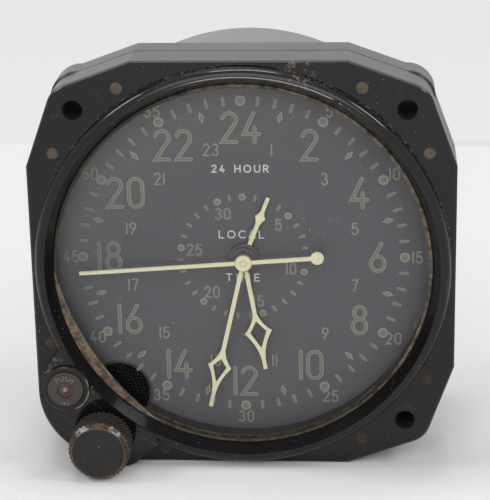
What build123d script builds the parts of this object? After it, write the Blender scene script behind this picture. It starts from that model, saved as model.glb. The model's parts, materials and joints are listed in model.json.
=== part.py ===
from build123d import *
from math import acos, atan2, cos, degrees, hypot, radians, sin, tan
import os

# Aircraft panel clock with a 24 hour dial, sweep seconds and a date hand.
# Millimetres. X is right and Z is up as the dial is read, and Y runs from the dial into the panel.
# The origin is on the dial axis at the rear face of the flange, where the clock seats on its panel.

# Flange, in two plates: the front one is part of the bezel and the rear one part of the case
flange_side = 82.55
flat_half = 20.5
slant_deg = 20.0
corner_r = 5.0
big_corner_r = 15.0
case_plate = 6.6
front_chamfer = 0.4
seam_chamfer = 0.3
hole_edge = 9.525
hole_r = 1.9
lobe_r = 5.5

# Raised ring round the glass
ring_margin = 0.925
ring_wall = 1.95
ring_step = 1.1
ring_crest_wall = 1.75
ring_crest_land = 0.3
ring_height = 2.8
ring_round_out = 0.72
ring_round_up = 0.3
lip_overlap = 1.55
lip_thick = 0.5

# Glass, its seals, the spacer behind it and the dial
seat_gap = 0.1
glass_thick = 1.5
seal_width = 0.6
seal_proud = 0.1
seal_gap = 0.05
seal_swell_r = 56.7
seal_swell_shift = 21.9
seal_swell_deg = 32.0
gasket_thick = 0.4
gasket_width = 1.0
spacer_wall = 1.2
dial_thick = 0.8
dial_hole_gap = 0.2
spigot_height = 0.6
notch_r = 6.2
notch_outset = 0.8
notch_deg = 228.4
notch_bevel = 0.6
notch_bevel_depth = 0.35
cover_gap = 0.1
cover_sink = 0.2
cover_rim = 0.5
cover_rim_height = 0.3
cover_thick = 0.6

# Case body behind the panel
body_step = 1.585
body_length = 20.1
case_wall = 2.2
ledge_width = 3.7
ledge_thick = 2.0
lug_r = 3.2
lug_inset = 2.6
lug_length = 6.0
cover_step = 0.79
cover_plate = 1.6
drum_gap = 2.8
drum_height = 2.4
drum_fillet = 1.0
cover_chamfer = 0.5
cover_spigot = 1.2
rear_screw_count = 4
rear_screw_deg = 45.0

# Control boss at the lower left of the bezel
boss_height = 3.0
boss_side_inset = 0.825
boss_bottom_inset = 0.275
boss_corner_r = 4.5
boss_ring_inset = 0.1
boss_top_out = 0.85
boss_top_up = 8.5
boss_side_up = 1.5
boss_side_down = 3.3
boss_foot_left = 2.7
boss_foot_right = 5.7
boss_end_right = 11.1
boss_end_down = 1.0
boss_inner_right = 8.3
boss_inner_down = 0.9

# Winding knob, placed from the flange's left and bottom edges
knob_from_left = 12.975
knob_from_bottom = 6.275
knob_r = 6.15
knob_face_r = 5.25
knob_length = 6.6
knob_chamfer = 1.3
knob_gap = 0.6
knob_bore_depth = 4.0
knob_flutes = 36
knob_flute_depth = 0.3
stem_r = 1.5
stem_pull = 1.8
stem_tail = 1.0
stem_groove = 0.4
clip_wall = 1.0
clip_thick = 0.6
clip_gap = 0.3
running_gap = 0.05
fixed_gap = 0.02

# Date button, placed from the flange's left and bottom edges
button_from_left = 6.125
button_from_bottom = 17.175
button_r = 3.6
button_proud = 0.5
button_length = 3.4
button_travel = 1.5
button_edge = 0.25
button_dome_r = 0.95
button_dome_sink = 0.25
button_groove_r = 1.7
button_groove = 0.25
collar_wall = 1.05
collar_proud = 0.8
collar_seat = 1.6
spring_room = 2.2
spring_wire_r = 0.22
spring_coils = 3
spring_gap = 0.3
rod_r = 1.2
rod_tip_r = 0.3
rod_tip_slope = 0.6
slide_width = 2.0
slide_gap = 0.1
slide_pin_r = 0.5
slide_pin_inset = 4.0

# Hands: angles are degrees clockwise from the top mark, as the clock has stopped
second_angle = 265.9
minute_angle = 193.1
hour_angle = 170.3
date_angle = 21.5
hand_thick = 0.3
hand_step = 1.0
hand_glass_gap = 0.6
hand_dial_gap = 0.7
hand_grip = 0.1
second_tip = 32.5
second_tail = 14.5
second_tail_r = 1.3
second_tail_half = 0.42
second_tip_half = 0.35
second_hub_r = 1.67
second_hub_rise = 0.4
second_hub_fillet = 0.25
minute_tip = 31.75
minute_throat = 29.3
minute_neck = 19.3
minute_wide = 22.9
minute_half = 2.35
minute_slot_in = 21.2
minute_slot_out = 26.4
minute_slot_half = 1.4
minute_hub_wall = 0.8
hour_tip = 23.5
hour_throat = 21.5
hour_neck = 11.8
hour_wide = 15.5
hour_half = 2.75
hour_slot_in = 13.1
hour_slot_out = 18.9
hour_slot_half = 1.65
hour_hub_wall = 0.9
date_tip = 13.35
date_throat = 10.3
date_neck = 7.2
date_wide = 9.0
date_half = 1.1
date_hub_wall = 0.9
hand_shaft_half = 0.42
hand_tip_half = 0.38
hand_bow = 0.075

# Coaxial arbor and pipes at the dial centre, each running in the next
seconds_arbor_r = 0.6
centre_tube_wall = 0.45
hour_pipe_wall = 0.4
date_pipe_wall = 0.4

# Movement plates and pillars
main_plate_thick = 2.0
main_plate_gap = 0.3
back_plate_thick = 1.6
back_plate_inset = 2.3
back_plate_gap = 0.9
pillar_inset = 2.5
pillar_r = 2.0
pillar_degs = (20, 100, 160, 285)
pivot_r = 0.4
arbor_r = 0.5
pivot_length = 1.0
pivot_room = 0.2
end_shake = 0.1
wheel_thick = 0.8
wheel_gap = 0.6
pinion_spare = 0.1

# Teeth: heights in modules, and half widths at root and tip as shares of the tooth's step
wheel_addendum = 0.8
wheel_dedendum = 1.1
wheel_root_share = 0.26
wheel_tip_share = 0.07
pinion_addendum = 0.7
pinion_dedendum = 1.2
pinion_root_share = 0.22
pinion_tip_share = 0.08

# Going train: tooth counts and centre distances
centre_teeth = 48
third_pinion_teeth = 6
third_teeth = 45
seconds_pinion_teeth = 6
fourth_teeth = 48
escape_pinion_teeth = 6
centre_pinion_teeth = 8
intermediate_teeth = 32
intermediate_pinion_teeth = 8
barrel_teeth = 48
train_distance = 10.125
intermediate_distance = 10.0
third_deg = 100.0
escape_deg = -5.0
fourth_level = 6.0
third_rear_gap = 2.1
barrel_teeth_thick = 1.6
barrel_end_gap = 1.4
barrel_wall = 0.8
barrel_arbor_r = 1.6
barrel_shoulder = 0.8
barrel_pivot_r = 0.8
spiral_runs = 12
mainspring_turns = 5
mainspring_strip = 0.4
mainspring_gap = 0.3

# Escapement and balance
escape_level = 3.4
escape_thick = 0.6
escape_teeth = 15
escape_r = 4.4
escape_root_r = 3.3
pallet_distance = 6.0
pallet_deg = -25.0
pallet_arm = 4.2
pallet_spread_deg = 60.0
pallet_half = 0.3
pallet_hub_r = 0.9
lever_half = 0.45
lever_slot_r = 0.25
balance_distance = 9.5
balance_deg = -45.0
balance_r = 8.5
balance_rim = 1.1
balance_thick = 1.0
balance_gap = 1.2
balance_bar_half = 0.6
staff_r = 0.5
staff_pivot_r = 0.25
roller_r = 1.5
roller_gap = 0.5
collet_r = 0.9
hairspring_gap = 0.5
hairspring_start = 0.1
hairspring_turns = 4
hairspring_pitch = 0.9
hairspring_strip = 0.15
hairspring_height = 0.5
cock_thick = 1.4
cock_foot_inset = 3.9
cock_foot_gap = 1.1
cock_foot_r = 2.6
cock_head_r = 1.6
stud_r = 0.35
balance_clear = 2.0

# Motion work under the dial
cannon_teeth = 8
minute_wheel_teeth = 32
minute_pinion_teeth = 8
hour_wheel_teeth = 48
motion_distance = 9.0
motion_deg = 60.0
motion_gap = 0.3
hour_wheel_thick = 0.6
date_wheel_thick = 0.6
date_teeth = 31
date_wheel_r = 9.2
date_tooth = 0.9
jumper_gap = 0.1
jumper_deg = 20.0
jumper_half = 0.5
jumper_nose = 1.2
jumper_foot_r = 1.6
jumper_foot_at = 19.5
jumper_foot_deg = 58.0

# Winding work: pinion on the stem, idler under the notch in the dial, ratchet wheel on the barrel
winding_pinion_teeth = 14
idler_teeth = 14
ratchet_teeth = 38
winding_thick = 1.1
winding_gap = 0.9
gear_room = 0.4
idler_inset = 1.2
idler_deg = 229.4
idler_post_r = 1.0
ear_r = 3.0
click_deg = 150.0
click_length = 6.5
click_turn_deg = 60.0
click_hub_r = 1.3
click_pin_r = 0.6
click_nose = 0.6
click_gap = 0.1

# Screws: the bezel's are placed from the flange's edges, and two lie apart beside the boss
screw_edge = 5.275
screw_run = 18.025
low_screw_edge = 2.775
low_screw_run = 25.175
bezel_screw_r = 1.15
bezel_screw_head_r = 2.0
bezel_screw_head = 1.2
screw_sink = 0.1
plate_screw_r = 0.9
plate_screw_head_r = 1.7
plate_screw_head = 0.9
plate_screw_grip = 2.0
movement_screw_inset = 2.1
movement_screw_degs = (75, 195, 315)
rear_screw_r = 1.2
rear_screw_head_r = 2.1
rear_screw_head = 1.2
slot_width = 0.5
slot_depth = 0.4
screw_end_gap = 1.5
screw_hole_end = 1.0

# Cutting shapes run this far past a face, and places nearer than the tolerance are one place
over = 1.0
tolerance = 0.001

# Radii that follow from the sizes above
half_side = flange_side / 2
hole_half = half_side - hole_edge
ring_r = half_side - ring_margin
ring_crest_r = ring_r - ring_crest_wall
bore_r = ring_r - ring_wall
lip_r = bore_r - lip_overlap
bore_fit_r = bore_r - seat_gap
body_r = half_side - body_step
case_inner_r = body_r - case_wall
main_plate_r = case_inner_r - main_plate_gap
ledge_r = case_inner_r - ledge_width
rear_screw_ring_r = case_inner_r - lug_inset
drum_r = rear_screw_ring_r - rear_screw_head_r - drum_gap
back_plate_r = ledge_r - back_plate_inset
centre_tube_in = seconds_arbor_r + running_gap
centre_tube_r = centre_tube_in + centre_tube_wall
hour_pipe_in = centre_tube_r + running_gap
hour_pipe_r = hour_pipe_in + hour_pipe_wall
date_pipe_in = hour_pipe_r + running_gap
date_pipe_r = date_pipe_in + date_pipe_wall

# Places along Y that follow from the sizes above, from the front of the flange back
second_hand_depth = lip_thick + glass_thick + hand_glass_gap + second_hub_rise
minute_hand_depth = second_hand_depth + hand_step
hour_hand_depth = minute_hand_depth + hand_step
date_hand_depth = hour_hand_depth + hand_step
dial_depth = date_hand_depth + hand_thick + hand_dial_gap
bezel_plate = dial_depth + dial_thick + spigot_height
front_y = -(bezel_plate + case_plate)
split_y = -case_plate
glass_y = front_y + lip_thick
glass_rear_y = glass_y + glass_thick
gasket_rear_y = glass_rear_y + gasket_thick
dial_y = front_y + dial_depth
dial_rear_y = dial_y + dial_thick
boss_y = front_y - boss_height
crest_y = front_y - ring_height
cover_floor_y = dial_y + cover_sink + cover_rim_height
cover_rear_y = cover_floor_y + cover_thick
date_wheel_y = dial_rear_y + motion_gap
hour_wheel_y = date_wheel_y + date_wheel_thick + motion_gap
cannon_y = hour_wheel_y + hour_wheel_thick + motion_gap
main_plate_y = cannon_y + wheel_thick + wheel_gap
winding_y = main_plate_y - winding_gap - winding_thick
main_plate_rear = main_plate_y + main_plate_thick
centre_wheel_y = main_plate_rear + wheel_gap
intermediate_wheel_y = centre_wheel_y + wheel_thick + wheel_gap
barrel_teeth_y = intermediate_wheel_y + wheel_thick + wheel_gap
escape_wheel_y = main_plate_rear + escape_level
fourth_wheel_y = main_plate_rear + fourth_level
cover_lug_y = body_length - cover_spigot
back_plate_rear = cover_lug_y - lug_length - back_plate_gap
back_plate_y = back_plate_rear - back_plate_thick
third_wheel_y = back_plate_y - third_rear_gap - wheel_thick
barrel_rear_y = back_plate_y - barrel_end_gap
balance_y = escape_wheel_y + escape_thick + balance_gap
hairspring_y = balance_y + balance_thick + hairspring_gap
cock_y = hairspring_y + hairspring_height + hairspring_gap
drum_y = body_length + cover_plate + drum_height


def polar(radius, angle_deg, centre=(0.0, 0.0)):
    """Point at a distance and an angle counterclockwise from +X, seen from the front."""
    angle = radians(angle_deg)
    return (centre[0] + radius * cos(angle), centre[1] + radius * sin(angle))


def heading(start, end):
    return degrees(atan2(end[1] - start[1], end[0] - start[0]))


def distance(start, end):
    return hypot(end[0] - start[0], end[1] - start[1])


def at(place, sketch):
    return Pos(place[0], place[1]) * sketch


def outline(points):
    return make_face(Polyline(*points, close=True))


def slab(sketch, y_front, y_rear):
    """Flat piece with the outline of a sketch in X and Z, from y_front back to y_rear."""
    plane = Plane(origin=(0, y_rear, 0), x_dir=(1, 0, 0), z_dir=(0, -1, 0))
    return extrude(plane * sketch, amount=y_rear - y_front, dir=(0, -1, 0))


def disc(radius, y_front, y_rear, place=(0.0, 0.0)):
    return slab(at(place, Circle(radius)), y_front, y_rear)


def tube(outer_r, inner_r, y_front, y_rear, place=(0.0, 0.0)):
    return slab(at(place, Circle(outer_r) - Circle(inner_r)), y_front, y_rear)


def turned(points, place=(0.0, 0.0)):
    """Solid turned about a Y axis from (radius, y) points."""
    return Pos(place[0], 0, place[1]) * revolve(outline(points), Axis.Y)


def joined(pieces):
    """One node made of several separate solids."""
    return Compound(children=list(pieces))


def edges_at(solid, y):
    """Edges that lie in one plane across the dial axis."""
    boxes = [(edge, edge.bounding_box()) for edge in solid.edges()]
    return [edge for edge, box in boxes if abs(box.min.Y - y) < tolerance and abs(box.max.Y - y) < tolerance]


def toothed(teeth, module, phase_deg, addendum, dedendum, root_share, tip_share):
    """Outline of a toothed wheel with straight flanks, one tooth centred on the phase."""
    pitch_r = module * teeth / 2
    root_r = pitch_r - dedendum * module
    tip_r = pitch_r + addendum * module
    step = 360 / teeth
    points = []
    for index in range(teeth):
        middle = phase_deg + index * step
        points.append(polar(root_r, middle - root_share * step))
        points.append(polar(tip_r, middle - tip_share * step))
        points.append(polar(tip_r, middle + tip_share * step))
        points.append(polar(root_r, middle + root_share * step))
    return outline(points)


def wheel_sketch(teeth, module, phase_deg):
    return toothed(teeth, module, phase_deg, wheel_addendum, wheel_dedendum, wheel_root_share,
                   wheel_tip_share)


def pinion_sketch(teeth, module, phase_deg):
    return toothed(teeth, module, phase_deg, pinion_addendum, pinion_dedendum, pinion_root_share,
                   pinion_tip_share)


def mesh_phase(teeth, mate_teeth, mate_phase, from_mate_deg):
    """Phase of a wheel whose teeth fall in the gaps of a mate, seen from the mate in one direction."""
    lag = (from_mate_deg - mate_phase) * mate_teeth / teeth
    return from_mate_deg + 180 + lag + 180 / teeth


def module_for(centres, teeth_a, teeth_b):
    return 2 * centres / (teeth_a + teeth_b)


def gear(sketch, place, y_front, y_rear, bore=0.0):
    if bore > 0:
        sketch = sketch - Circle(bore)
    return slab(at(place, sketch), y_front, y_rear)


# Places on the flange
knob_at = (knob_from_left - half_side, knob_from_bottom - half_side)
button_at = (button_from_left - half_side, button_from_bottom - half_side)
hole_places = [(-hole_half, hole_half), (hole_half, hole_half), (hole_half, -hole_half)]
screw_near = half_side - screw_edge
screw_far = half_side - screw_run
screw_low_near = half_side - low_screw_edge
screw_low_far = half_side - low_screw_run
bezel_screw_places = [
    (-screw_far, screw_near), (-screw_near, screw_far), (screw_far, screw_near), (screw_near, screw_far),
    (screw_near, -screw_far), (screw_far, -screw_near),
    (-screw_low_near, -screw_low_far), (-screw_low_far, -screw_low_near),
]

# Places of the notch in the dial and of the winding work
notch_at = polar(bore_fit_r + notch_outset, notch_deg)
idler_at = polar(bore_fit_r - idler_inset, idler_deg)
knob_deg = heading(idler_at, knob_at)
winding_module = module_for(distance(idler_at, knob_at), winding_pinion_teeth, idler_teeth)
barrel_distance = bore_fit_r - idler_inset - winding_module * (idler_teeth + ratchet_teeth) / 2
barrel_at = polar(barrel_distance, idler_deg)
idler_phase = idler_deg + 180
winding_tip_r = winding_module * (idler_teeth / 2 + 1)
winding_room_r = winding_tip_r + gear_room
ratchet_tip_r = winding_module * (ratchet_teeth / 2 + wheel_addendum)
click_nose_at = polar(ratchet_tip_r + click_gap, click_deg, barrel_at)
click_pin_at = polar(click_length, click_deg + click_turn_deg, click_nose_at)
clip_y = winding_y + winding_thick + clip_gap
clip_room_y = clip_y + clip_thick + clip_gap
stem_end_y = clip_room_y + stem_tail

# Places of the train and the balance
third_at = polar(train_distance, third_deg)
escape_at = polar(train_distance, escape_deg)
intermediate_at = polar(intermediate_distance, idler_deg)
pallet_at = polar(pallet_distance, pallet_deg, escape_at)
balance_at = polar(balance_distance, balance_deg, pallet_at)

# Foot of the balance cock: just inside the case's ledge and just clear of the balance wheel
balance_from_axis = distance((0.0, 0.0), balance_at)
foot_from_axis = ledge_r - cock_foot_inset
foot_from_balance = balance_r + cock_foot_gap + cock_foot_r
foot_cosine = (balance_from_axis ** 2 + foot_from_axis ** 2 - foot_from_balance ** 2)
foot_turn_deg = degrees(acos(foot_cosine / (2 * balance_from_axis * foot_from_axis)))
cock_foot_at = polar(foot_from_axis, heading((0.0, 0.0), balance_at) - foot_turn_deg)
cock_foot_deg = heading(balance_at, cock_foot_at)

# Places under the dial, and tooth modules of the train
motion_at = polar(motion_distance, motion_deg)
jumper_foot = polar(jumper_foot_at, jumper_foot_deg)
centre_module = module_for(train_distance, centre_teeth, third_pinion_teeth)
third_module = module_for(train_distance, third_teeth, seconds_pinion_teeth)
fourth_module = module_for(train_distance, fourth_teeth, escape_pinion_teeth)
intermediate_module = module_for(intermediate_distance, intermediate_teeth, centre_pinion_teeth)
barrel_module = module_for(barrel_distance - intermediate_distance, barrel_teeth, intermediate_pinion_teeth)
cannon_module = module_for(motion_distance, cannon_teeth, minute_wheel_teeth)
hour_module = module_for(motion_distance, minute_pinion_teeth, hour_wheel_teeth)
barrel_drum_r = barrel_module * (barrel_teeth / 2 - 1.5)

# Places of the date work
button_y = boss_y - collar_proud - button_proud
button_rear_y = button_y + button_length
button_floor_y = button_rear_y + button_travel + spring_room
rod_end_y = date_wheel_y - slide_gap
date_deg = heading((0.0, 0.0), button_at)
slide_travel = rod_tip_slope * button_travel
slide_tail_at = distance((0.0, 0.0), button_at) - rod_tip_r - slide_gap
slide_beak_at = date_wheel_r + slide_gap + slide_travel
slide_pin_at = case_inner_r - slide_pin_inset

movement_screw_places = [polar(case_inner_r - movement_screw_inset, angle) for angle in movement_screw_degs]
rear_screw_places = [polar(rear_screw_ring_r, rear_screw_deg + 360 * index / rear_screw_count)
                     for index in range(rear_screw_count)]
pillar_places = [polar(back_plate_r - pillar_inset, angle) for angle in pillar_degs]


# Flange outline: four flats, slanted shoulders, and one big round corner behind the controls
def flange_outline():
    slope = tan(radians(slant_deg))
    shoulder = (half_side + flat_half * slope) / (1 + slope)
    sketch = outline([
        (-flat_half, half_side), (flat_half, half_side), (shoulder, shoulder),
        (half_side, flat_half), (half_side, -flat_half), (shoulder, -shoulder),
        (flat_half, -half_side), (-half_side, -half_side), (-half_side, flat_half),
        (-shoulder, shoulder),
    ])
    small = [v for v in sketch.vertices() if distance((abs(v.X), abs(v.Y)), (shoulder, shoulder)) < tolerance]
    sketch = fillet(small, corner_r)
    big = [v for v in sketch.vertices() if distance((v.X, v.Y), (-half_side, -half_side)) < tolerance]
    return fillet(big, big_corner_r)


def boss_outline():
    """Raised land that carries the knob and the button, on the lower left of the flange."""
    left = boss_side_inset - half_side
    bottom = boss_bottom_inset - half_side
    button_x, button_z = button_at
    knob_x, knob_z = knob_at
    sketch = outline([
        (button_x - boss_top_out, button_z + boss_top_up), (left, button_z + boss_side_up),
        (left, button_z - boss_side_down), (knob_x - boss_foot_left, bottom),
        (knob_x + boss_foot_right, bottom), (knob_x + boss_end_right, knob_z - boss_end_down),
        (knob_x + boss_inner_right, button_z - boss_inner_down),
    ])
    outside = [v for v in sketch.vertices() if hypot(v.X, v.Y) > ring_r + boss_corner_r / 2]
    return fillet(outside, boss_corner_r)


def slide_room(y_front, y_rear):
    """Slot for the date slide, from the rod's hole to the inside of the case."""
    half = slide_width / 2 + slide_gap
    outer = distance((0.0, 0.0), button_at)
    bar = outline([(slide_pin_at, -half), (outer, -half), (outer, half), (slide_pin_at, half)])
    return slab(Rot(0, 0, date_deg) * bar, y_front, y_rear)


# Bezel: front plate, ring and control boss in one casting
def bezel():
    plate = slab(flange_outline(), front_y, split_y)
    plate = chamfer(edges_at(plate, front_y), front_chamfer)
    plate = chamfer(edges_at(plate, split_y), seam_chamfer)
    step_y = front_y - ring_step
    inside = Polyline((lip_r, glass_y), (lip_r, front_y), (ring_crest_r - ring_crest_land, crest_y),
                      (ring_crest_r, crest_y))
    middle_y = crest_y + ring_round_up * (ring_height - ring_step)
    middle = (ring_crest_r + ring_round_out * ring_crest_wall, middle_y)
    rounding = ThreePointArc((ring_crest_r, crest_y), middle, (ring_r, step_y))
    outside = Polyline((ring_r, step_y), (ring_r, glass_y), (lip_r, glass_y))
    ring = revolve(make_face(inside + rounding + outside), Axis.Y)
    boss = slab(boss_outline(), boss_y, front_y + lip_thick)
    boss = boss - disc(ring_crest_r - boss_ring_inset, boss_y - over, front_y + over)
    body = plate + boss - disc(lip_r, front_y - over, split_y + over) + ring
    body = body - disc(bore_r, glass_y, split_y + over)
    for place in hole_places:
        body = body - disc(hole_r, front_y - over, split_y + over, place)
    for place in bezel_screw_places:
        body = body - disc(bezel_screw_r + fixed_gap, front_y - over, split_y + over, place)
    body = body - disc(stem_r + running_gap, boss_y - over, split_y + over, knob_at)
    body = body - disc(winding_room_r, winding_y - stem_pull - gear_room, split_y + over, knob_at)
    body = body - disc(button_r + collar_wall + fixed_gap, boss_y - over, boss_y + collar_seat, button_at)
    body = body - disc(button_r + seat_gap, boss_y, button_floor_y, button_at)
    body = body - disc(rod_r + running_gap, boss_y, split_y + over, button_at)
    return body - slide_room(date_wheel_y - slide_gap, split_y + over)


def crystal():
    return disc(bore_fit_r, glass_y, glass_rear_y)


def crystal_seal():
    """Soft seal round the glass, squeezed out into a crescent at the lower left."""
    inner_r = lip_r - seal_width
    opening = Circle(inner_r) & at(polar(seal_swell_shift, seal_swell_deg), Circle(seal_swell_r))
    return slab(Circle(lip_r - seal_gap) - opening, front_y - seal_proud, glass_y)


def crystal_gasket():
    return tube(bore_fit_r, bore_fit_r - gasket_width, glass_rear_y, gasket_rear_y)


def dial_spacer():
    """Ring between glass and dial, cut away at the notch."""
    ring = tube(bore_fit_r, bore_fit_r - spacer_wall, gasket_rear_y, dial_y)
    return ring - disc(notch_r, gasket_rear_y - over, dial_y + over, notch_at)


def dial():
    sketch = Circle(bore_fit_r) - Circle(date_pipe_r + dial_hole_gap) - at(notch_at, Circle(notch_r))
    bevel_r = notch_r + notch_bevel
    bevel = turned([(0, dial_y - over), (bevel_r, dial_y - over), (bevel_r, dial_y),
                    (notch_r, dial_y + notch_bevel_depth), (0, dial_y + notch_bevel_depth)], notch_at)
    return slab(sketch, dial_y, dial_rear_y) - bevel


def gear_cover():
    """Dark dished cap over the idler, seen through the notch in the dial."""
    rim_r = notch_r - cover_gap
    cap = disc(rim_r, dial_y + cover_sink, cover_rear_y, notch_at)
    cap = cap - disc(rim_r - cover_rim, dial_y, cover_floor_y, notch_at)
    return cap & disc(bore_fit_r, front_y, 0)


# Case: rear plate of the flange and the round body in one casting
def case():
    sketch = flange_outline()
    for place in hole_places:
        sketch = sketch + at(place, Circle(lobe_r))
    plate = slab(sketch, split_y, 0)
    plate = chamfer(edges_at(plate, split_y), seam_chamfer)
    body = plate + disc(body_r, split_y / 2, body_length)
    body = body - disc(case_inner_r, split_y - over, body_length + over)
    ledge_rear = main_plate_rear + ledge_thick
    body = body + tube(case_inner_r + case_wall / 2, ledge_r, main_plate_rear, ledge_rear)
    body = body + tube(bore_fit_r, case_inner_r, dial_rear_y, 0)
    for place in rear_screw_places:
        lug = disc(lug_r, cover_lug_y - lug_length, cover_lug_y, place)
        body = body + (lug & disc(case_inner_r + case_wall / 2, 0, body_length))
    hole_end_y = cover_lug_y - lug_length + screw_hole_end
    for place in rear_screw_places:
        body = body - disc(rear_screw_r + fixed_gap, hole_end_y, body_length, place)
    for place in hole_places:
        body = body - disc(hole_r, split_y - over, over, place)
    for place in bezel_screw_places:
        body = body - disc(bezel_screw_r + fixed_gap, split_y - over, over, place)
        body = body - bezel_screw_seat(place)
    body = body - disc(notch_r, dial_rear_y - over, cover_rear_y + cover_gap, notch_at)
    body = body - disc(winding_room_r, dial_rear_y - over, winding_y + winding_thick + gear_room, idler_at)
    body = body - disc(winding_room_r, dial_rear_y - over, clip_room_y, knob_at)
    body = body - disc(stem_r + running_gap, split_y, stem_end_y + clip_gap, knob_at)
    body = body - disc(ear_r + seat_gap, dial_rear_y - over, main_plate_rear, idler_at)
    for place in movement_screw_places:
        body = body - disc(plate_screw_r + fixed_gap, main_plate_rear - over, ledge_rear, place)
    body = body - disc(rod_r + running_gap, split_y - over, rod_end_y + button_travel + clip_gap, button_at)
    return body - slide_room(dial_rear_y - over, date_wheel_y + date_wheel_thick + slide_gap)


def bezel_screw_seat(place):
    head_r = bezel_screw_head_r + fixed_gap
    return turned([(0, over), (head_r, over), (head_r, -screw_sink),
                   (bezel_screw_r + fixed_gap, -bezel_screw_head), (0, -bezel_screw_head)], place)


def bezel_screws():
    """Countersunk screws from the rear that hold the bezel to the case."""
    pieces = []
    for place in bezel_screw_places:
        screw = turned([(0, -screw_sink), (bezel_screw_head_r, -screw_sink),
                        (bezel_screw_r, -bezel_screw_head), (bezel_screw_r, front_y + screw_sink),
                        (0, front_y + screw_sink)], place)
        slot = Box(2 * bezel_screw_head_r, 2 * slot_depth, slot_width)
        pieces.append(screw - Pos(place[0], -screw_sink, place[1]) * slot)
    return joined(pieces)


def rear_cover():
    plate_rear = body_length + cover_plate
    body = disc(body_r - cover_step, body_length, plate_rear)
    body = chamfer(edges_at(body, plate_rear), cover_chamfer)
    drum = disc(drum_r, body_length, drum_y)
    drum = fillet(edges_at(drum, drum_y), drum_fillet)
    body = body + drum - disc(drum_r - cover_plate, body_length - over, drum_y - cover_plate)
    spigot_r = case_inner_r - seat_gap
    half_plate_y = body_length + cover_plate / 2
    body = body + tube(spigot_r, spigot_r - cover_plate, cover_lug_y, half_plate_y)
    for place in rear_screw_places:
        body = body - disc(lug_r + seat_gap, cover_lug_y - over, body_length, place)
        pad = disc(lug_r, cover_lug_y, half_plate_y, place)
        body = body + (pad & disc(spigot_r, 0, plate_rear))
        body = body - disc(rear_screw_r + fixed_gap, cover_lug_y - over, drum_y, place)
    return body


def slotted_screw(place, seat_y, outward, shank_r, head_r, head, length):
    """Screw whose head lies outward of its seat and whose shank runs the other way."""
    head_end = seat_y + outward * head
    shank_end = seat_y - outward * length
    body = disc(head_r, min(seat_y, head_end), max(seat_y, head_end), place)
    body = body + disc(shank_r, min(seat_y, shank_end), max(seat_y, shank_end), place)
    slot = Box(2 * head_r + over, 2 * slot_depth, slot_width)
    return body - Pos(place[0], head_end, place[1]) * slot


def rear_cover_screws():
    seat = body_length + cover_plate
    length = cover_plate + cover_spigot + lug_length - screw_end_gap
    return joined([slotted_screw(place, seat, 1, rear_screw_r, rear_screw_head_r, rear_screw_head, length)
                   for place in rear_screw_places])


# Winding knob, its stem and the gears it turns
def knob():
    rear_y = boss_y - knob_gap
    face_y = rear_y - knob_length
    body = turned([(0, face_y), (knob_face_r, face_y), (knob_r, face_y + knob_chamfer), (knob_r, rear_y),
                   (0, rear_y)], knob_at)
    side = knob_flute_depth * 2 ** 0.5
    for index in range(knob_flutes):
        angle = index * 360 / knob_flutes
        flute = at(polar(knob_r, angle, knob_at), Rot(0, 0, angle + 45) * Rectangle(side, side))
        body = body - slab(flute, face_y, rear_y)
    return body - disc(stem_r + fixed_gap, rear_y - knob_bore_depth, rear_y + over, knob_at)


def winding_stem():
    body = disc(stem_r, boss_y - knob_gap - knob_bore_depth + seat_gap, stem_end_y, knob_at)
    groove_rear = clip_y + clip_thick + seat_gap
    return body - tube(stem_r + over, stem_r - stem_groove, clip_y - seat_gap, groove_rear, knob_at)


def stem_clip():
    """Ring in the stem's groove that keeps the knob from being pulled right out."""
    inner_r = stem_r - stem_groove + running_gap
    return tube(stem_r + clip_wall, inner_r, clip_y, clip_y + clip_thick, knob_at)


def winding_pinion():
    phase = mesh_phase(winding_pinion_teeth, idler_teeth, idler_phase, knob_deg)
    sketch = wheel_sketch(winding_pinion_teeth, winding_module, phase)
    return gear(sketch, knob_at, winding_y, winding_y + winding_thick, stem_r + fixed_gap)


def winding_idler():
    sketch = wheel_sketch(idler_teeth, winding_module, idler_phase)
    return gear(sketch, idler_at, winding_y, winding_y + winding_thick, idler_post_r + running_gap)


def ratchet_wheel():
    phase = mesh_phase(ratchet_teeth, idler_teeth, idler_phase, idler_deg + 180)
    sketch = wheel_sketch(ratchet_teeth, winding_module, phase)
    return gear(sketch, barrel_at, winding_y, winding_y + winding_thick, barrel_arbor_r + fixed_gap)


def ratchet_click():
    along = heading(click_pin_at, click_nose_at)
    arm = outline([polar(click_hub_r, along + 90, click_pin_at), polar(click_hub_r, along - 90, click_pin_at),
                   click_nose_at, polar(click_nose, along + 120, click_nose_at)])
    sketch = arm + at(click_pin_at, Circle(click_hub_r)) - at(click_pin_at, Circle(click_pin_r + running_gap))
    return slab(sketch, winding_y, winding_y + winding_thick)


# Date button, its spring and the slide that it wedges towards the date wheel
def button_collar():
    front = boss_y - collar_proud
    return tube(button_r + collar_wall, button_r + seat_gap, front, boss_y + collar_seat, button_at)


def date_button():
    head = disc(button_r, button_y, button_rear_y, button_at)
    head = chamfer(edges_at(head, button_y), button_edge)
    head = head - disc(button_groove_r, button_y - over, button_y + button_groove, button_at)
    centre = (button_at[0], button_y + button_groove + button_dome_sink, button_at[1])
    room = disc(button_dome_r, button_y - button_proud, button_rear_y - button_edge, button_at)
    return head + (Pos(*centre) * Sphere(button_dome_r) & room)


def button_rod():
    """Plunger with a tapered tip, fixed in the button."""
    taper_y = rod_end_y - (rod_r - rod_tip_r) / rod_tip_slope
    return turned([(0, button_rear_y), (rod_r, button_rear_y), (rod_r, taper_y), (rod_tip_r, rod_end_y),
                   (0, rod_end_y)], button_at)


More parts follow.
